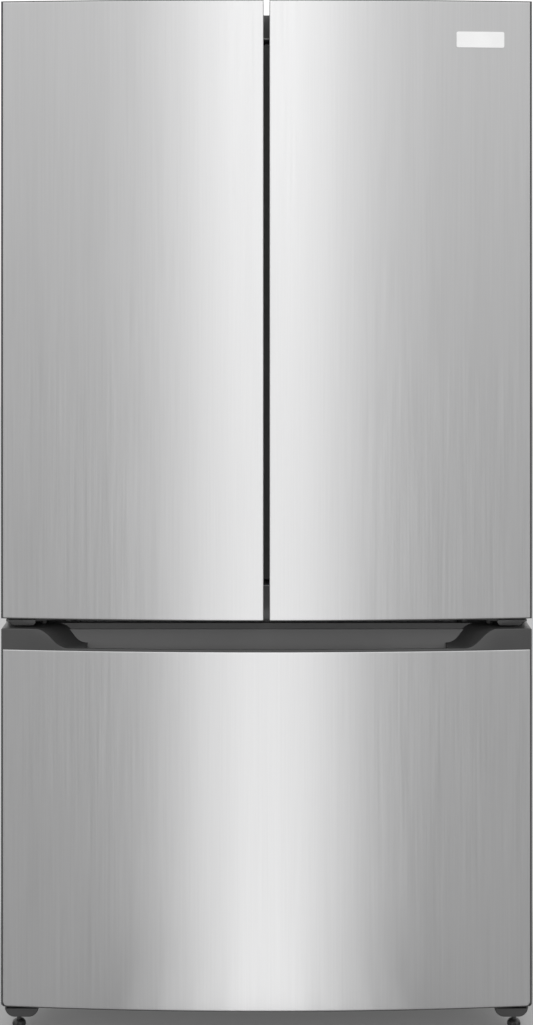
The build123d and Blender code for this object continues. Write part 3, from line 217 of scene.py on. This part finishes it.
def liner_plastic(name="liner_white", grey=0.80):
    """Vacuum-formed white sheet: soft gloss over a faint orange peel."""
    material = new_material(
        name, shade(grey, (0.985, 0.995, 1)), roughness=0.22, Subsurface_Weight=0.04,
        Subsurface_Scale=0.004, Coat_Weight=0.2,
    )
    peel = noise(material, 180, detail=2)
    broad = noise(material, 3, detail=2, offset=5)
    vary_colour(material, broad, shade(grey * 0.97, (0.98, 0.99, 1)), shade(grey * 1.02, (0.99, 1, 1)))
    vary_roughness(material, peel, 0.2, 0.3)
    add_bump(material, peel, 0.15, 0.0003)
    return material


def clear_plastic(name, tint, roughness=0.06, weight=0.92):
    """Clear moulded plastic, a little hazy in places."""
    material = new_material(name, tint, roughness=roughness, Transmission_Weight=weight, IOR=1.49)
    haze = noise(material, 14, detail=3)
    vary_colour(material, haze, tuple(0.97 * part for part in tint), tint)
    vary_roughness(material, haze, roughness, roughness + 0.1)
    add_bump(material, noise(material, 60), 0.05, 0.0004)
    return material


def foam_material():
    material = new_material("foam", (0.80, 0.70, 0.45), roughness=0.9)
    cells = noise(material, 500, detail=3)
    vary_colour(material, cells, (0.70, 0.60, 0.37), (0.86, 0.77, 0.52))
    vary_roughness(material, cells, 0.8, 0.95)
    add_bump(material, cells, 0.6, 0.0006)
    return material


def soft_rubber(name, grey):
    material = new_material(name, shade(grey), roughness=0.55)
    dust = noise(material, 30, detail=4)
    vary_colour(material, dust, shade(grey * 0.9), shade(grey * 1.1))
    vary_roughness(material, dust, 0.5, 0.68)
    add_bump(material, noise(material, 700), 0.3, 0.0001)
    return material


def touch_glass():
    """Black back-printed touch strip."""
    material = new_material("panel_black", shade(0.012), roughness=0.08, Coat_Weight=0.6)
    smudge = noise(material, 22, detail=4)
    vary_colour(material, smudge, shade(0.009), shade(0.016))
    vary_roughness(material, smudge, 0.06, 0.16)
    return material


def diffuser():
    material = new_material("lens", shade(0.86), roughness=0.35, Transmission_Weight=0.35)
    ribs = noise(material, 220, stretch=(1, 0.05, 1), detail=1)
    vary_colour(material, ribs, shade(0.8), shade(0.9))
    vary_roughness(material, ribs, 0.3, 0.45)
    add_bump(material, ribs, 0.4, 0.0005)
    return material


MATERIALS = {
    "door_steel": brushed_steel(),
    "cabinet_grey": enamelled_sheet("cabinet_grey", 0.16, tint=(1, 1, 1.02)),
    "zinc_steel": galvanised("zinc_steel", 0.55),
    "back_board": galvanised("back_board", 0.5),
    "dark_trim": moulded_plastic("dark_trim", 0.046, roughness=0.42),
    "hinge_steel": enamelled_sheet("hinge_steel", 0.05),
    "foam": foam_material(),
    "liner_white": liner_plastic(),
    "gasket_grey": soft_rubber("gasket_grey", 0.16),
    "clear_plastic": clear_plastic("clear_plastic", (0.93, 0.96, 0.97)),
    "shelf_white": liner_plastic("shelf_white", 0.76),
    "shelf_glass": clear_plastic("shelf_glass", (0.86, 0.95, 0.92), roughness=0.02),
    "lens": diffuser(),
    "panel_black": touch_glass(),
    "badge_white": moulded_plastic("badge_white", 0.9, roughness=0.3),
    "slide_steel": bright_metal("slide_steel", 0.62, stretch=(1, 0.02, 1)),
    "fin_aluminium": bright_metal("fin_aluminium", 0.72, roughness=0.35),
    "fan_black": moulded_plastic("fan_black", 0.03, roughness=0.45),
    "compressor_black": enamelled_sheet("compressor_black", 0.015, roughness=0.25),
    "basket_plastic": clear_plastic("basket_plastic", (0.86, 0.90, 0.93), roughness=0.25, weight=0.45),
    "foot_black": moulded_plastic("foot_black", 0.02, roughness=0.4),
    "roller_nylon": moulded_plastic("roller_nylon", 0.6, roughness=0.4),
}
SLOT_OF = {row["node"]: row["material_slot"] for row in frame["record"]["subparts"]}


def paint(piece, slot_name):
    piece.data.materials.clear()
    piece.data.materials.append(MATERIALS[slot_name])


for name, piece in NODES.items():
    paint(piece, SLOT_OF[name])

# ---------------------------------------------------------------- mesh tools


def add_piece(name, mesh_data, slot_name, body, smooth_angle=35):
    """Links a finished mesh as a smooth-shaded piece that rides on a body."""
    mesh_data.polygons.foreach_set("use_smooth", [True] * len(mesh_data.polygons))
    mesh_data.set_sharp_from_angle(angle=radians(smooth_angle))
    piece = bpy.data.objects.new(name, mesh_data)
    bpy.context.scene.collection.objects.link(piece)
    paint(piece, slot_name)
    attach(piece, body)
    return piece


def apply_modifiers(piece):
    """Bakes a piece's modifiers into its mesh."""
    graph = bpy.context.evaluated_depsgraph_get()
    graph.update()
    baked = bpy.data.meshes.new_from_object(piece.evaluated_get(graph))
    old = piece.data
    piece.modifiers.clear()
    piece.data = baked
    bpy.data.meshes.remove(old)


MERGE_DISTANCE = 1e-6
FLAT_ANGLE = 0.6                # faces within this many degrees of each other are made one
ROUNDED_ANGLE = 32              # edges sharper than this many degrees are rounded


def refine(cad_name, edge):
    """Replaces a CAD node by a copy whose sharp edges are rounded by edge metres."""
    source = NODES[cad_name]
    work = bmesh.new()
    work.from_mesh(source.data)
    bmesh.ops.remove_doubles(work, verts=work.verts, dist=MERGE_DISTANCE)
    bmesh.ops.dissolve_limit(work, angle_limit=radians(FLAT_ANGLE), verts=work.verts, edges=work.edges)
    mesh_data = bpy.data.meshes.new(cad_name + "_rounded")
    work.to_mesh(mesh_data)
    work.free()
    piece = bpy.data.objects.new(cad_name + "_rounded", mesh_data)
    bpy.context.scene.collection.objects.link(piece)
    bevel = piece.modifiers.new("edges", "BEVEL")
    bevel.width = edge
    bevel.segments = 3
    bevel.limit_method = "ANGLE"
    bevel.angle_limit = radians(ROUNDED_ANGLE)
    apply_modifiers(piece)
    piece.data.polygons.foreach_set("use_smooth", [True] * len(piece.data.polygons))
    piece.data.set_sharp_from_angle(angle=radians(40))
    paint(piece, SLOT_OF[cad_name])
    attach(piece, source["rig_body"])
    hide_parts(cad_name)
    return piece


# ---------------------------------------------------------------- bowed steel fronts

FRONT_Y = cad_box[0][1]
HALF = cad_box[1][0]
BOW = 26 * MM                   # how far the fronts swell between the side edges
BOW_RADIUS = (HALF**2 + BOW**2) / (2 * BOW)
SHEET = 1.0 * MM
INNER_RETURN_Y = -350 * MM      # between the doors the steel ends in front of the finger recess
CORNER = 1.3 * MM               # vertical edges of a steel front
ROLL = 1.0 * MM                 # top and bottom edges
BOW_STEPS = 56
LEVELS = 24
SUPPORT = 0.6 * MM              # extra points beside a corner keep the shading flat up to it
CORNER_STEPS = 5
DRAWER_BOTTOM_ROUND = 7 * MM    # the drawer front's two bottom corners, seen from the front
BOTTOM_ROUND_STEPS = 6


def bow_y(x):
    """The y of the bowed front at x."""
    return FRONT_Y + BOW_RADIUS - sqrt(BOW_RADIUS**2 - x**2)


def front_profile(left, right, left_return_y, right_return_y):
    """Plan view of a steel front as (x, y, inward x, inward y): side, corner, bow, corner, side."""
    path = []
    corner_y = bow_y(left + CORNER) + CORNER
    path.append((left, left_return_y, 1, 0))
    for step in range(CORNER_STEPS + 1):
        turn = pi / 2 * step / CORNER_STEPS
        path.append((
            left + CORNER - CORNER * cos(turn), corner_y - CORNER * sin(turn), cos(turn), sin(turn)
        ))
    start, end = left + CORNER + SUPPORT, right - CORNER - SUPPORT
    for step in range(BOW_STEPS + 1):
        x = start + (end - start) * step / BOW_STEPS
        tilt = x / BOW_RADIUS
        path.append((x, bow_y(x), -tilt, sqrt(1 - tilt**2)))
    corner_y = bow_y(right - CORNER) + CORNER
    for step in range(CORNER_STEPS + 1):
        turn = pi / 2 * (1 - step / CORNER_STEPS)
        path.append((
            right - CORNER + CORNER * cos(turn), corner_y - CORNER * sin(turn), -cos(turn), sin(turn)
        ))
    path.append((right, right_return_y, -1, 0))
    return path


def steel_front(cad_name, bottom_round=0.0):
    """Replaces a CAD skin by a smooth bowed sheet with rolled edges.

    bottom_round is the radius of its two bottom corners, seen from the front.
    """
    low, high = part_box(cad_name)
    left_return_y = INNER_RETURN_Y if low.x > 0 else high.y
    right_return_y = INNER_RETURN_Y if high.x < 0 else high.y
    # Heights from bottom to top, each with how far the rolled edge stands back there
    levels = [(low.z, SHEET), (low.z + 0.15 * ROLL, 0.35 * ROLL), (low.z + ROLL, 0), (low.z + 2 * ROLL, 0)]
    corner_levels = BOTTOM_ROUND_STEPS if bottom_round else 0
    for step in range(1, corner_levels + 1):
        levels.append((low.z + 2 * ROLL + (bottom_round - 2 * ROLL) * step / corner_levels, 0))
    base, top = levels[-1][0], high.z - 2 * ROLL
    for step in range(1, LEVELS + 1):
        levels.append((base + (top - base) * step / LEVELS, 0))
    levels += [(high.z - ROLL, 0), (high.z - 0.15 * ROLL, 0.35 * ROLL), (high.z, SHEET)]

    def side_inset(z):
        rise = z - low.z
        if rise >= bottom_round:
            return 0.0
        return bottom_round - sqrt(bottom_round**2 - (bottom_round - rise) ** 2)

    work = bmesh.new()

    def row(z, inset):
        aside = side_inset(z)
        profile = front_profile(low.x + aside, high.x - aside, left_return_y, right_return_y)
        return [work.verts.new((x + nx * inset, y + ny * inset, z)) for x, y, nx, ny in profile]

    outer = [row(z, inset) for z, inset in levels]
    inner_levels = [z for z, _ in levels[2 : 5 + corner_levels]] + [levels[-3][0]]
    inner = [outer[0]] + [row(z, SHEET) for z in inner_levels] + [outer[-1]]
    count = len(outer[0])
    for rows, flip in ((outer, False), (inner, True)):
        for below, above in zip(rows, rows[1:]):
            for column in range(count - 1):
                corners = [below[column], below[column + 1], above[column + 1], above[column]]
                work.faces.new(corners[::-1] if flip else corners)
    for column in (0, count - 1):
        ring = [line[column] for line in outer] + [line[column] for line in inner[-2:0:-1]]
        work.faces.new(ring)
    bmesh.ops.recalc_face_normals(work, faces=work.faces)
    mesh_data = bpy.data.meshes.new(cad_name + "_sheet")
    work.to_mesh(mesh_data)
    work.free()
    piece = add_piece(cad_name + "_sheet", mesh_data, "door_steel", NODES[cad_name]["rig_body"])
    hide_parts(cad_name)


for cad_name in ("left_door_skin", "right_door_skin"):
    steel_front(cad_name)
steel_front("freezer_skin", bottom_round=DRAWER_BOTTOM_ROUND)

# ---------------------------------------------------------------- CAD pieces with softened edges

# How far each piece's sharp edges are rounded, in millimetres
ROUNDING = {
    "cabinet_wrapper": 0.6, "centre_rail": 0.5, "cabinet_base": 0.5, "cabinet_back": 0.6,
    "compressor_cover": 0.4, "rear_rollers": 0.8, "front_legs": 1.0, "left_foot": 0.5, "right_foot": 0.5,
    "top_hinges": 0.6, "hinge_covers": 0.6, "middle_hinges": 0.7, "hinge_screws": 0.4,
    "fresh_food_liner": 0.9, "freezer_liner": 0.9, "air_duct": 0.8, "evaporator_cover": 0.7,
    "light_lens": 0.8, "control_panel": 0.8, "shelf_tracks": 0.5, "shelf_glass": 0.8,
    "left_upper_shelf": 0.8, "left_lower_shelf": 0.8, "right_upper_shelf": 0.8, "right_lower_shelf": 0.8,
    "crisper_cover": 0.8, "left_crisper": 1.2, "right_crisper": 1.2,
    "left_door_trim": 0.7, "right_door_trim": 0.7, "left_door_liner": 0.9, "right_door_liner": 0.9,
    "left_door_bins": 1.2, "right_door_bins": 1.2, "dairy_lid": 1.0, "flipper_bar": 1.0,
    "freezer_handle": 0.8, "freezer_trim": 0.7, "freezer_door_liner": 0.8,
    "lower_basket": 1.2, "upper_basket": 1.2, "slide_outer": 0.6, "slide_middle": 0.6, "slide_inner": 0.6,
    "compressor": 0.8, "condenser": 0.3, "condenser_fan": 0.5, "evaporator": 0.3, "evaporator_fan": 0.5,
    "cabinet_foam": 1.0, "left_door_foam": 1.0, "right_door_foam": 1.0, "freezer_foam": 1.0,
}
rounded = {cad_name: refine(cad_name, edge_mm * MM) for cad_name, edge_mm in ROUNDING.items()}

# The flipper bar and the handle's cove get a lighter copy of the dark trim: painted light, which lifts the
# shade on the bar in the gap between the doors and on the cove
PAINTED_LIGHT_TRIM = moulded_plastic("painted_light_trim", 0.13, roughness=0.42)
rounded["flipper_bar"].data.materials[0] = PAINTED_LIGHT_TRIM


def slabs(name, boxes, slot_name, body, edge):
    """One piece made of boxes, each three (low, high) ranges in metres, with rounded edges."""
    work = bmesh.new()
    for ranges in boxes:
        made = bmesh.ops.create_cube(work, size=1)["verts"]
        for vert in made:
            vert.co = Vector([
                low + (high - low) * (part + 0.5) for (low, high), part in zip(ranges, vert.co)
            ])
    bmesh.ops.bevel(
        work, geom=list(work.edges), offset=edge, offset_type="OFFSET", segments=2, profile=0.5,
        affect="EDGES", clamp_overlap=True,
    )
    mesh_data = bpy.data.meshes.new(name)
    work.to_mesh(mesh_data)
    work.free()
    add_piece(name, mesh_data, slot_name, body)


# ---------------------------------------------------------------- magnetic gaskets

GASKET_WIDTH = 20 * MM
# Half of a gasket's section as (share of the half width, share of the depth)
GASKET_SECTION = [
    (0.5, 0), (0.7, 0.06), (0.7, 0.18),                 # base
    (0.42, 0.32),                                       # bellows
    (0.8, 0.5), (0.95, 0.66), (0.95, 0.86), (0.8, 1),   # magnet strip
]


def gasket(cad_name):
    """Replaces a CAD gasket by a mitred ring with bellows and a magnet strip."""
    low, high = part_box(cad_name)
    half = GASKET_WIDTH / 2
    depth = high.y - low.y
    section = [(half * (1 - across), low.y + along * depth) for across, along in GASKET_SECTION]
    section += [(half * (1 + across), low.y + along * depth) for across, along in reversed(GASKET_SECTION)]
    work = bmesh.new()
    corners = []
    for x, z, in_x, in_z in (
        (low.x, low.z, 1, 1), (high.x, low.z, -1, 1), (high.x, high.z, -1, -1), (low.x, high.z, 1, -1)
    ):
        corners.append([work.verts.new((x + in_x * inset, y, z + in_z * inset)) for inset, y in section])
    for here, there in zip(corners, corners[1:] + corners[:1]):
        for place in range(len(section)):
            after = (place + 1) % len(section)
            work.faces.new([here[place], there[place], there[after], here[after]])
    bmesh.ops.recalc_face_normals(work, faces=work.faces)
    mesh_data = bpy.data.meshes.new(cad_name + "_bellows")
    work.to_mesh(mesh_data)
    work.free()
    piece = add_piece(
        cad_name + "_bellows", mesh_data, "gasket_grey", NODES[cad_name]["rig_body"], smooth_angle=60
    )
    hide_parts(cad_name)


for cad_name in ("left_door_gasket", "right_door_gasket", "freezer_gasket"):
    gasket(cad_name)

# ---------------------------------------------------------------- small fittings

# The cove along the foot of the scoop's back wall, as a thin panel on the CAD surface that carries painted
# light: a lighter copy of the dark trim that brightens the cove. Its ends run into the solid ends of the
# scoop.
COVE_HALF = 352 * MM
COVE_PROUD = 0.5 * MM
COVE_ARC = ((-292 * MM, 690 * MM), (-297 * MM, 667 * MM), (-312 * MM, 640 * MM))
COVE_STEPS = 14


def circle_through(points):
    """Centre and radius of the circle through three (y, z) points."""
    (ay, az), (by, bz), (cy, cz) = points
    twice_area = 2 * (ay * (bz - cz) + by * (cz - az) + cy * (az - bz))
    a_square, b_square, c_square = ay**2 + az**2, by**2 + bz**2, cy**2 + cz**2
    centre_y = (a_square * (bz - cz) + b_square * (cz - az) + c_square * (az - bz)) / twice_area
    centre_z = (a_square * (cy - by) + b_square * (ay - cy) + c_square * (by - ay)) / twice_area
    return Vector((centre_y, centre_z)), sqrt((ay - centre_y) ** 2 + (az - centre_z) ** 2)


def scoop_cove():
    """The cove panel: the CAD surface and a copy of it a little in front, joined all round."""
    (top_y, top_z), _, (_, foot_z) = COVE_ARC
    centre, radius = circle_through(COVE_ARC)
    side = 1 if top_y > centre[0] else -1
    section = []
    for inset in (COVE_PROUD, 0):
        arc = []
        for step in range(COVE_STEPS + 1):
            z = top_z + (foot_z - top_z) * step / COVE_STEPS
            reach = sqrt(radius**2 - (z - centre[1]) ** 2)
            arc.append((centre[0] + side * reach - inset, z))
        section += arc if inset else arc[::-1]
    work = bmesh.new()
    left, right = [[work.verts.new((x, y, z)) for y, z in section] for x in (-COVE_HALF, COVE_HALF)]
    for place in range(len(section)):
        after = (place + 1) % len(section)
        work.faces.new([left[place], left[after], right[after], right[place]])
    work.faces.new(left)
    work.faces.new(right[::-1])
    bmesh.ops.recalc_face_normals(work, faces=work.faces)
    mesh_data = bpy.data.meshes.new("scoop_cove")
    work.to_mesh(mesh_data)
    work.free()
    piece = add_piece("scoop_cove", mesh_data, "dark_trim", "freezer_drawer")
    # Painted light: the lighter trim copy stands in for the light falling on the cove
    piece.data.materials[0] = PAINTED_LIGHT_TRIM


scoop_cove()

RIM_THICK = 0.8 * MM
RIM_EDGE = 0.2 * MM
DOOR_EDGE_GAP = 0.5 * MM        # between a rim and the door's own edges
HINGE_NOTCH_X = 389.5 * MM      # the doors' top corners are cut away over the hinges
DRAWER_RIM_LIFT = 6 * MM        # the drawer's rim starts this far above the trim's foot


def back_rim(name, body, outer_x, outer_z, liner, corner=None):
    """A dark rim on the back of a door, from its liner to its edges.

    corner is the (x, z) where the rim stops short of a hinge in one top corner.
    """
    low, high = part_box(liner)
    y = (low.y, low.y + RIM_THICK)
    left, right = outer_x[0] + DOOR_EDGE_GAP, outer_x[1] - DOOR_EDGE_GAP
    bottom, top = outer_z[0] + DOOR_EDGE_GAP, outer_z[1] - DOOR_EDGE_GAP
    side_top = top
    top_x = (left, right)
    if corner:
        corner_x, side_top = corner
        top_x = (left, corner_x) if corner_x > 0 else (corner_x, right)
    boxes = [
        ((left, right), y, (bottom, low.z)),
        (top_x, y, (high.z, top)),
        ((left, low.x), y, (low.z, side_top if left < 0 else high.z)),
        ((high.x, right), y, (low.z, side_top if right > 0 else high.z)),
    ]
    slabs(name, boxes, "dark_trim", body, RIM_EDGE)


for side_name, side in (("left", -1), ("right", 1)):
    low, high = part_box(f"{side_name}_door_trim")
    notch_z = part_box(f"{side_name}_door_liner")[1].z
    back_rim(
        f"{side_name}_door_rim", f"{side_name}_door", (low.x, high.x), (low.z, high.z),
        f"{side_name}_door_liner", corner=(side * HINGE_NOTCH_X, notch_z),
    )
drawer_low, drawer_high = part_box("freezer_trim")
handle_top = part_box("freezer_handle")[1].z
back_rim(
    "freezer_door_rim", "freezer_drawer", (drawer_low.x, drawer_high.x),
    (drawer_low.z + DRAWER_RIM_LIFT, handle_top), "freezer_door_liner",
)

# A slim bright strip along the front edge of each shelf
STRIP_END = 6 * MM              # from a strip's end to the shelf's side
STRIP_Y = (-0.6 * MM, 1 * MM)   # from the shelf's front edge
STRIP_Z = (-8.5 * MM, -3.5 * MM)    # from the shelf's top
for cad_name in ("left_upper_shelf", "left_lower_shelf", "right_upper_shelf", "right_lower_shelf"):
    low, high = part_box(cad_name)
    strip = (
        (low.x + STRIP_END, high.x - STRIP_END),
        (low.y + STRIP_Y[0], low.y + STRIP_Y[1]),
        (high.z + STRIP_Z[0], high.z + STRIP_Z[1]),
    )
    slabs(cad_name + "_strip", [strip], "slide_steel", "cabinet", 0.5 * MM)

# A generic touch strip: a row of blank pads and a short level bar, without any lettering
PAD_WIDTH = 9 * MM
PAD_PITCH = 26 * MM
PAD_STEPS = (-4, -3, -2, 2, 3, 4)   # the level bar is in the middle
PAD_Z = (5 * MM, 6.2 * MM)          # from the panel's foot
LEVEL_WIDTH = 4 * MM
LEVEL_PITCH = 7 * MM
LEVEL_STEPS = (-2, -1, 0, 1, 2)
LEVEL_Z = (4.6 * MM, 7 * MM)
low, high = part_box("control_panel")
pads = []
for steps, pitch, width, (foot, top) in (
    (PAD_STEPS, PAD_PITCH, PAD_WIDTH, PAD_Z), (LEVEL_STEPS, LEVEL_PITCH, LEVEL_WIDTH, LEVEL_Z)
):
    for step in steps:
        pad_x = (step * pitch - width / 2, step * pitch + width / 2)
        pads.append((pad_x, (low.y - 0.3 * MM, low.y + 0.5 * MM), (low.z + foot, low.z + top)))
slabs("touch_pads", pads, "badge_white", "cabinet", 0.2 * MM)

# Ribs moulded inside the two freezer baskets
RIB_PITCH = 34 * MM
RIB_WIDTH = 3 * MM
RIB_PROUD = 1.2 * MM
RIB_SUNK = 0.5 * MM             # into the basket's wall
RIB_FOOT = 14 * MM              # from the basket's foot
RIB_TOP = 22 * MM               # from the basket's rim
BASKET_WALL = 3 * MM
for cad_name, rim_reach in (("lower_basket", 20 * MM), ("upper_basket", 15 * MM)):
    low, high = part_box(cad_name)
    half_x = high.x - rim_reach - BASKET_WALL
    front, back = low.y + BASKET_WALL, high.y - BASKET_WALL
    rib_z = (low.z + RIB_FOOT, high.z - RIB_TOP)
    ribs = []
    count = int(half_x / RIB_PITCH)
    for step in range(-count, count + 1):
        rib_x = (step * RIB_PITCH - RIB_WIDTH / 2, step * RIB_PITCH + RIB_WIDTH / 2)
        ribs.append((rib_x, (front - RIB_SUNK, front + RIB_PROUD), rib_z))
        ribs.append((rib_x, (back - RIB_PROUD, back + RIB_SUNK), rib_z))
    slabs(cad_name + "_ribs", ribs, "basket_plastic", NODES[cad_name]["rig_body"], 0.6 * MM)

# Screw heads round the back sheet and the machine compartment's cover
SCREW_INSET = 9 * MM            # from the sheet's edges
SCREW_FAR_INSET = 360 * MM      # the second screw from each end
SCREW_HEAD = 3.6 * MM
SCREW_PROUD = 1.6 * MM
BACK_SHEET = 1.5 * MM
low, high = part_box("cabinet_back")
cover_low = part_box("compressor_cover")[0]
sheet_y = low.y + BACK_SHEET
screw_rows = [
    high.z - SCREW_INSET, high.z - SCREW_FAR_INSET, (low.z + high.z) / 2,
    low.z + SCREW_FAR_INSET, low.z + SCREW_INSET, cover_low.z + SCREW_INSET,
]
work = bmesh.new()
for screw_z in screw_rows:
    for screw_x in (low.x + SCREW_INSET, high.x - SCREW_INSET):
        head = bmesh.ops.create_cone(
            work, cap_ends=True, segments=20, radius1=SCREW_HEAD, radius2=0.6 * SCREW_HEAD,
            depth=SCREW_PROUD,
        )["verts"]
        for vert in head:
            vert.co = Vector((
                screw_x + vert.co.x, sheet_y + SCREW_PROUD / 2 + vert.co.z, screw_z - vert.co.y
            ))
mesh_data = bpy.data.meshes.new("back_screws")
work.to_mesh(mesh_data)
work.free()
add_piece("back_screws", mesh_data, "slide_steel", "cabinet")

# ---------------------------------------------------------------- camera, floor and light

EYE_HEIGHT = 1.335
EDGE_PLANE_Y = -0.339           # the doors' side edges, where the camera's distance is counted from
EYE_DISTANCE = 3.43
FOCAL_LENGTH = 70.6
LENS_DROP = -0.25               # a shift instead of a tilt keeps the upright edges parallel

lens = bpy.data.cameras.new("camera")
lens.lens = FOCAL_LENGTH
lens.sensor_width = 36
lens.shift_y = LENS_DROP
camera = bpy.data.objects.new("camera", lens)
camera.location = (0, EDGE_PLANE_Y - EYE_DISTANCE, EYE_HEIGHT)
camera.rotation_euler = (pi / 2, 0, 0)
bpy.context.scene.collection.objects.link(camera)
bpy.context.scene.camera = camera


FLOOR_HALF = 14.0


def studio_floor():
    """A plain grey floor, a little luminous so that the shadow under the cabinet stays soft."""
    work = bmesh.new()
    corners = [
        work.verts.new((x * FLOOR_HALF, y * FLOOR_HALF, 0)) for x, y in ((-1, -1), (1, -1), (1, 1), (-1, 1))
    ]
    work.faces.new(corners)
    mesh_data = bpy.data.meshes.new("floor")
    work.to_mesh(mesh_data)
    work.free()
    floor = bpy.data.objects.new("floor", mesh_data)
    bpy.context.scene.collection.objects.link(floor)
    material = new_material(
        "floor_paper", shade(0.34), roughness=0.9, Emission_Color=(1, 1, 1, 1), Emission_Strength=0.08
    )
    vary_colour(material, noise(material, 2), shade(0.335), shade(0.345))
    mesh_data.materials.append(material)


studio_floor()


def soft_light(name, place, aim, size, radiance):
    """A rectangular soft box; its power follows from its size and how bright its face is."""
    lamp = bpy.data.lights.new(name, "AREA")
    lamp.shape = "RECTANGLE"
    lamp.size, lamp.size_y = size
    lamp.energy = radiance * pi * size[0] * size[1]
    holder = bpy.data.objects.new(name, lamp)
    holder.location = place
    holder.rotation_euler = (Vector(aim) - Vector(place)).to_track_quat("-Z", "Y").to_euler()
    holder.visible_camera = False
    bpy.context.scene.collection.objects.link(holder)


# A tall strip behind the camera makes the broad highlight on the steel
FRONT_STRIP_Y = -5.4
FRONT_STRIP_HEIGHT = 4.8
soft_light(
    "front_strip", (0, FRONT_STRIP_Y, FRONT_STRIP_HEIGHT / 2), (0, 0, FRONT_STRIP_HEIGHT / 2),
    (1.25, FRONT_STRIP_HEIGHT), 1.25,
)
# A glow on the floor in front, narrow near the cabinet and wider further out. Near the cabinet it
# fades in bands to both sides, so that the highlight on the steel keeps soft edges down to the floor.
SPREAD = 0.8                    # how the glow widens with distance, as the bowed steel reflects it
GLOW = 1.15
GLOW_HEIGHT = 0.02
# Bands as (inner, outer, share of the glow), before the widening
FADING = ((0, 0.06, 1), (0.06, 0.11, 0.72), (0.11, 0.16, 0.46), (0.16, 0.21, 0.22))
PLAIN = ((0, 0.125, 1),)


def glow_strip(near, far, bands):
    """Part of the floor glow, between two distances from the cabinet's front."""
    middle = (near + far) / 2
    place_y = FRONT_Y - middle
    spread = 1 + SPREAD * middle
    for inner, outer, share in bands:
        for side in (-1, 1):
            place_x = side * spread * (inner + outer) / 2
            soft_light(
                f"glow_{middle:.1f}_{side * outer:.2f}",
                (place_x, place_y, GLOW_HEIGHT), (place_x, place_y, 2),
                (spread * (outer - inner), far - near), GLOW * share,
            )


for near, far, bands in ((0.06, 0.5, FADING), (0.5, 1.3, FADING), (1.3, 2.6, PLAIN), (2.6, 4.7, PLAIN)):
    glow_strip(near, far, bands)
OVERHEAD_Y = 0.2
soft_light("overhead", (0, OVERHEAD_Y, 4.2), (0, OVERHEAD_Y, 0), (3.0, 3.0), 1.2)

# The room around: darker below the horizon and brighter above it
world = bpy.data.worlds.new("studio")
world.use_nodes = True
world_nodes, world_links = world.node_tree.nodes, world.node_tree.links
backdrop = world_nodes["Background"]
direction = world_nodes.new("ShaderNodeTexCoord")
height = world_nodes.new("ShaderNodeSeparateXYZ")
fade = world_nodes.new("ShaderNodeMapRange")
for key, value in (("From Min", -0.11), ("From Max", 0.16), ("To Min", 0.5), ("To Max", 1.2)):
    fade.inputs[key].default_value = value
world_links.new(direction.outputs["Generated"], height.inputs["Vector"])
world_links.new(height.outputs["Z"], fade.inputs["Value"])
world_links.new(fade.outputs["Result"], backdrop.inputs["Strength"])
backdrop.inputs["Color"].default_value = (1, 1, 1, 1)
bpy.context.scene.world = world
bpy.context.scene.view_settings.view_transform = "Standard"
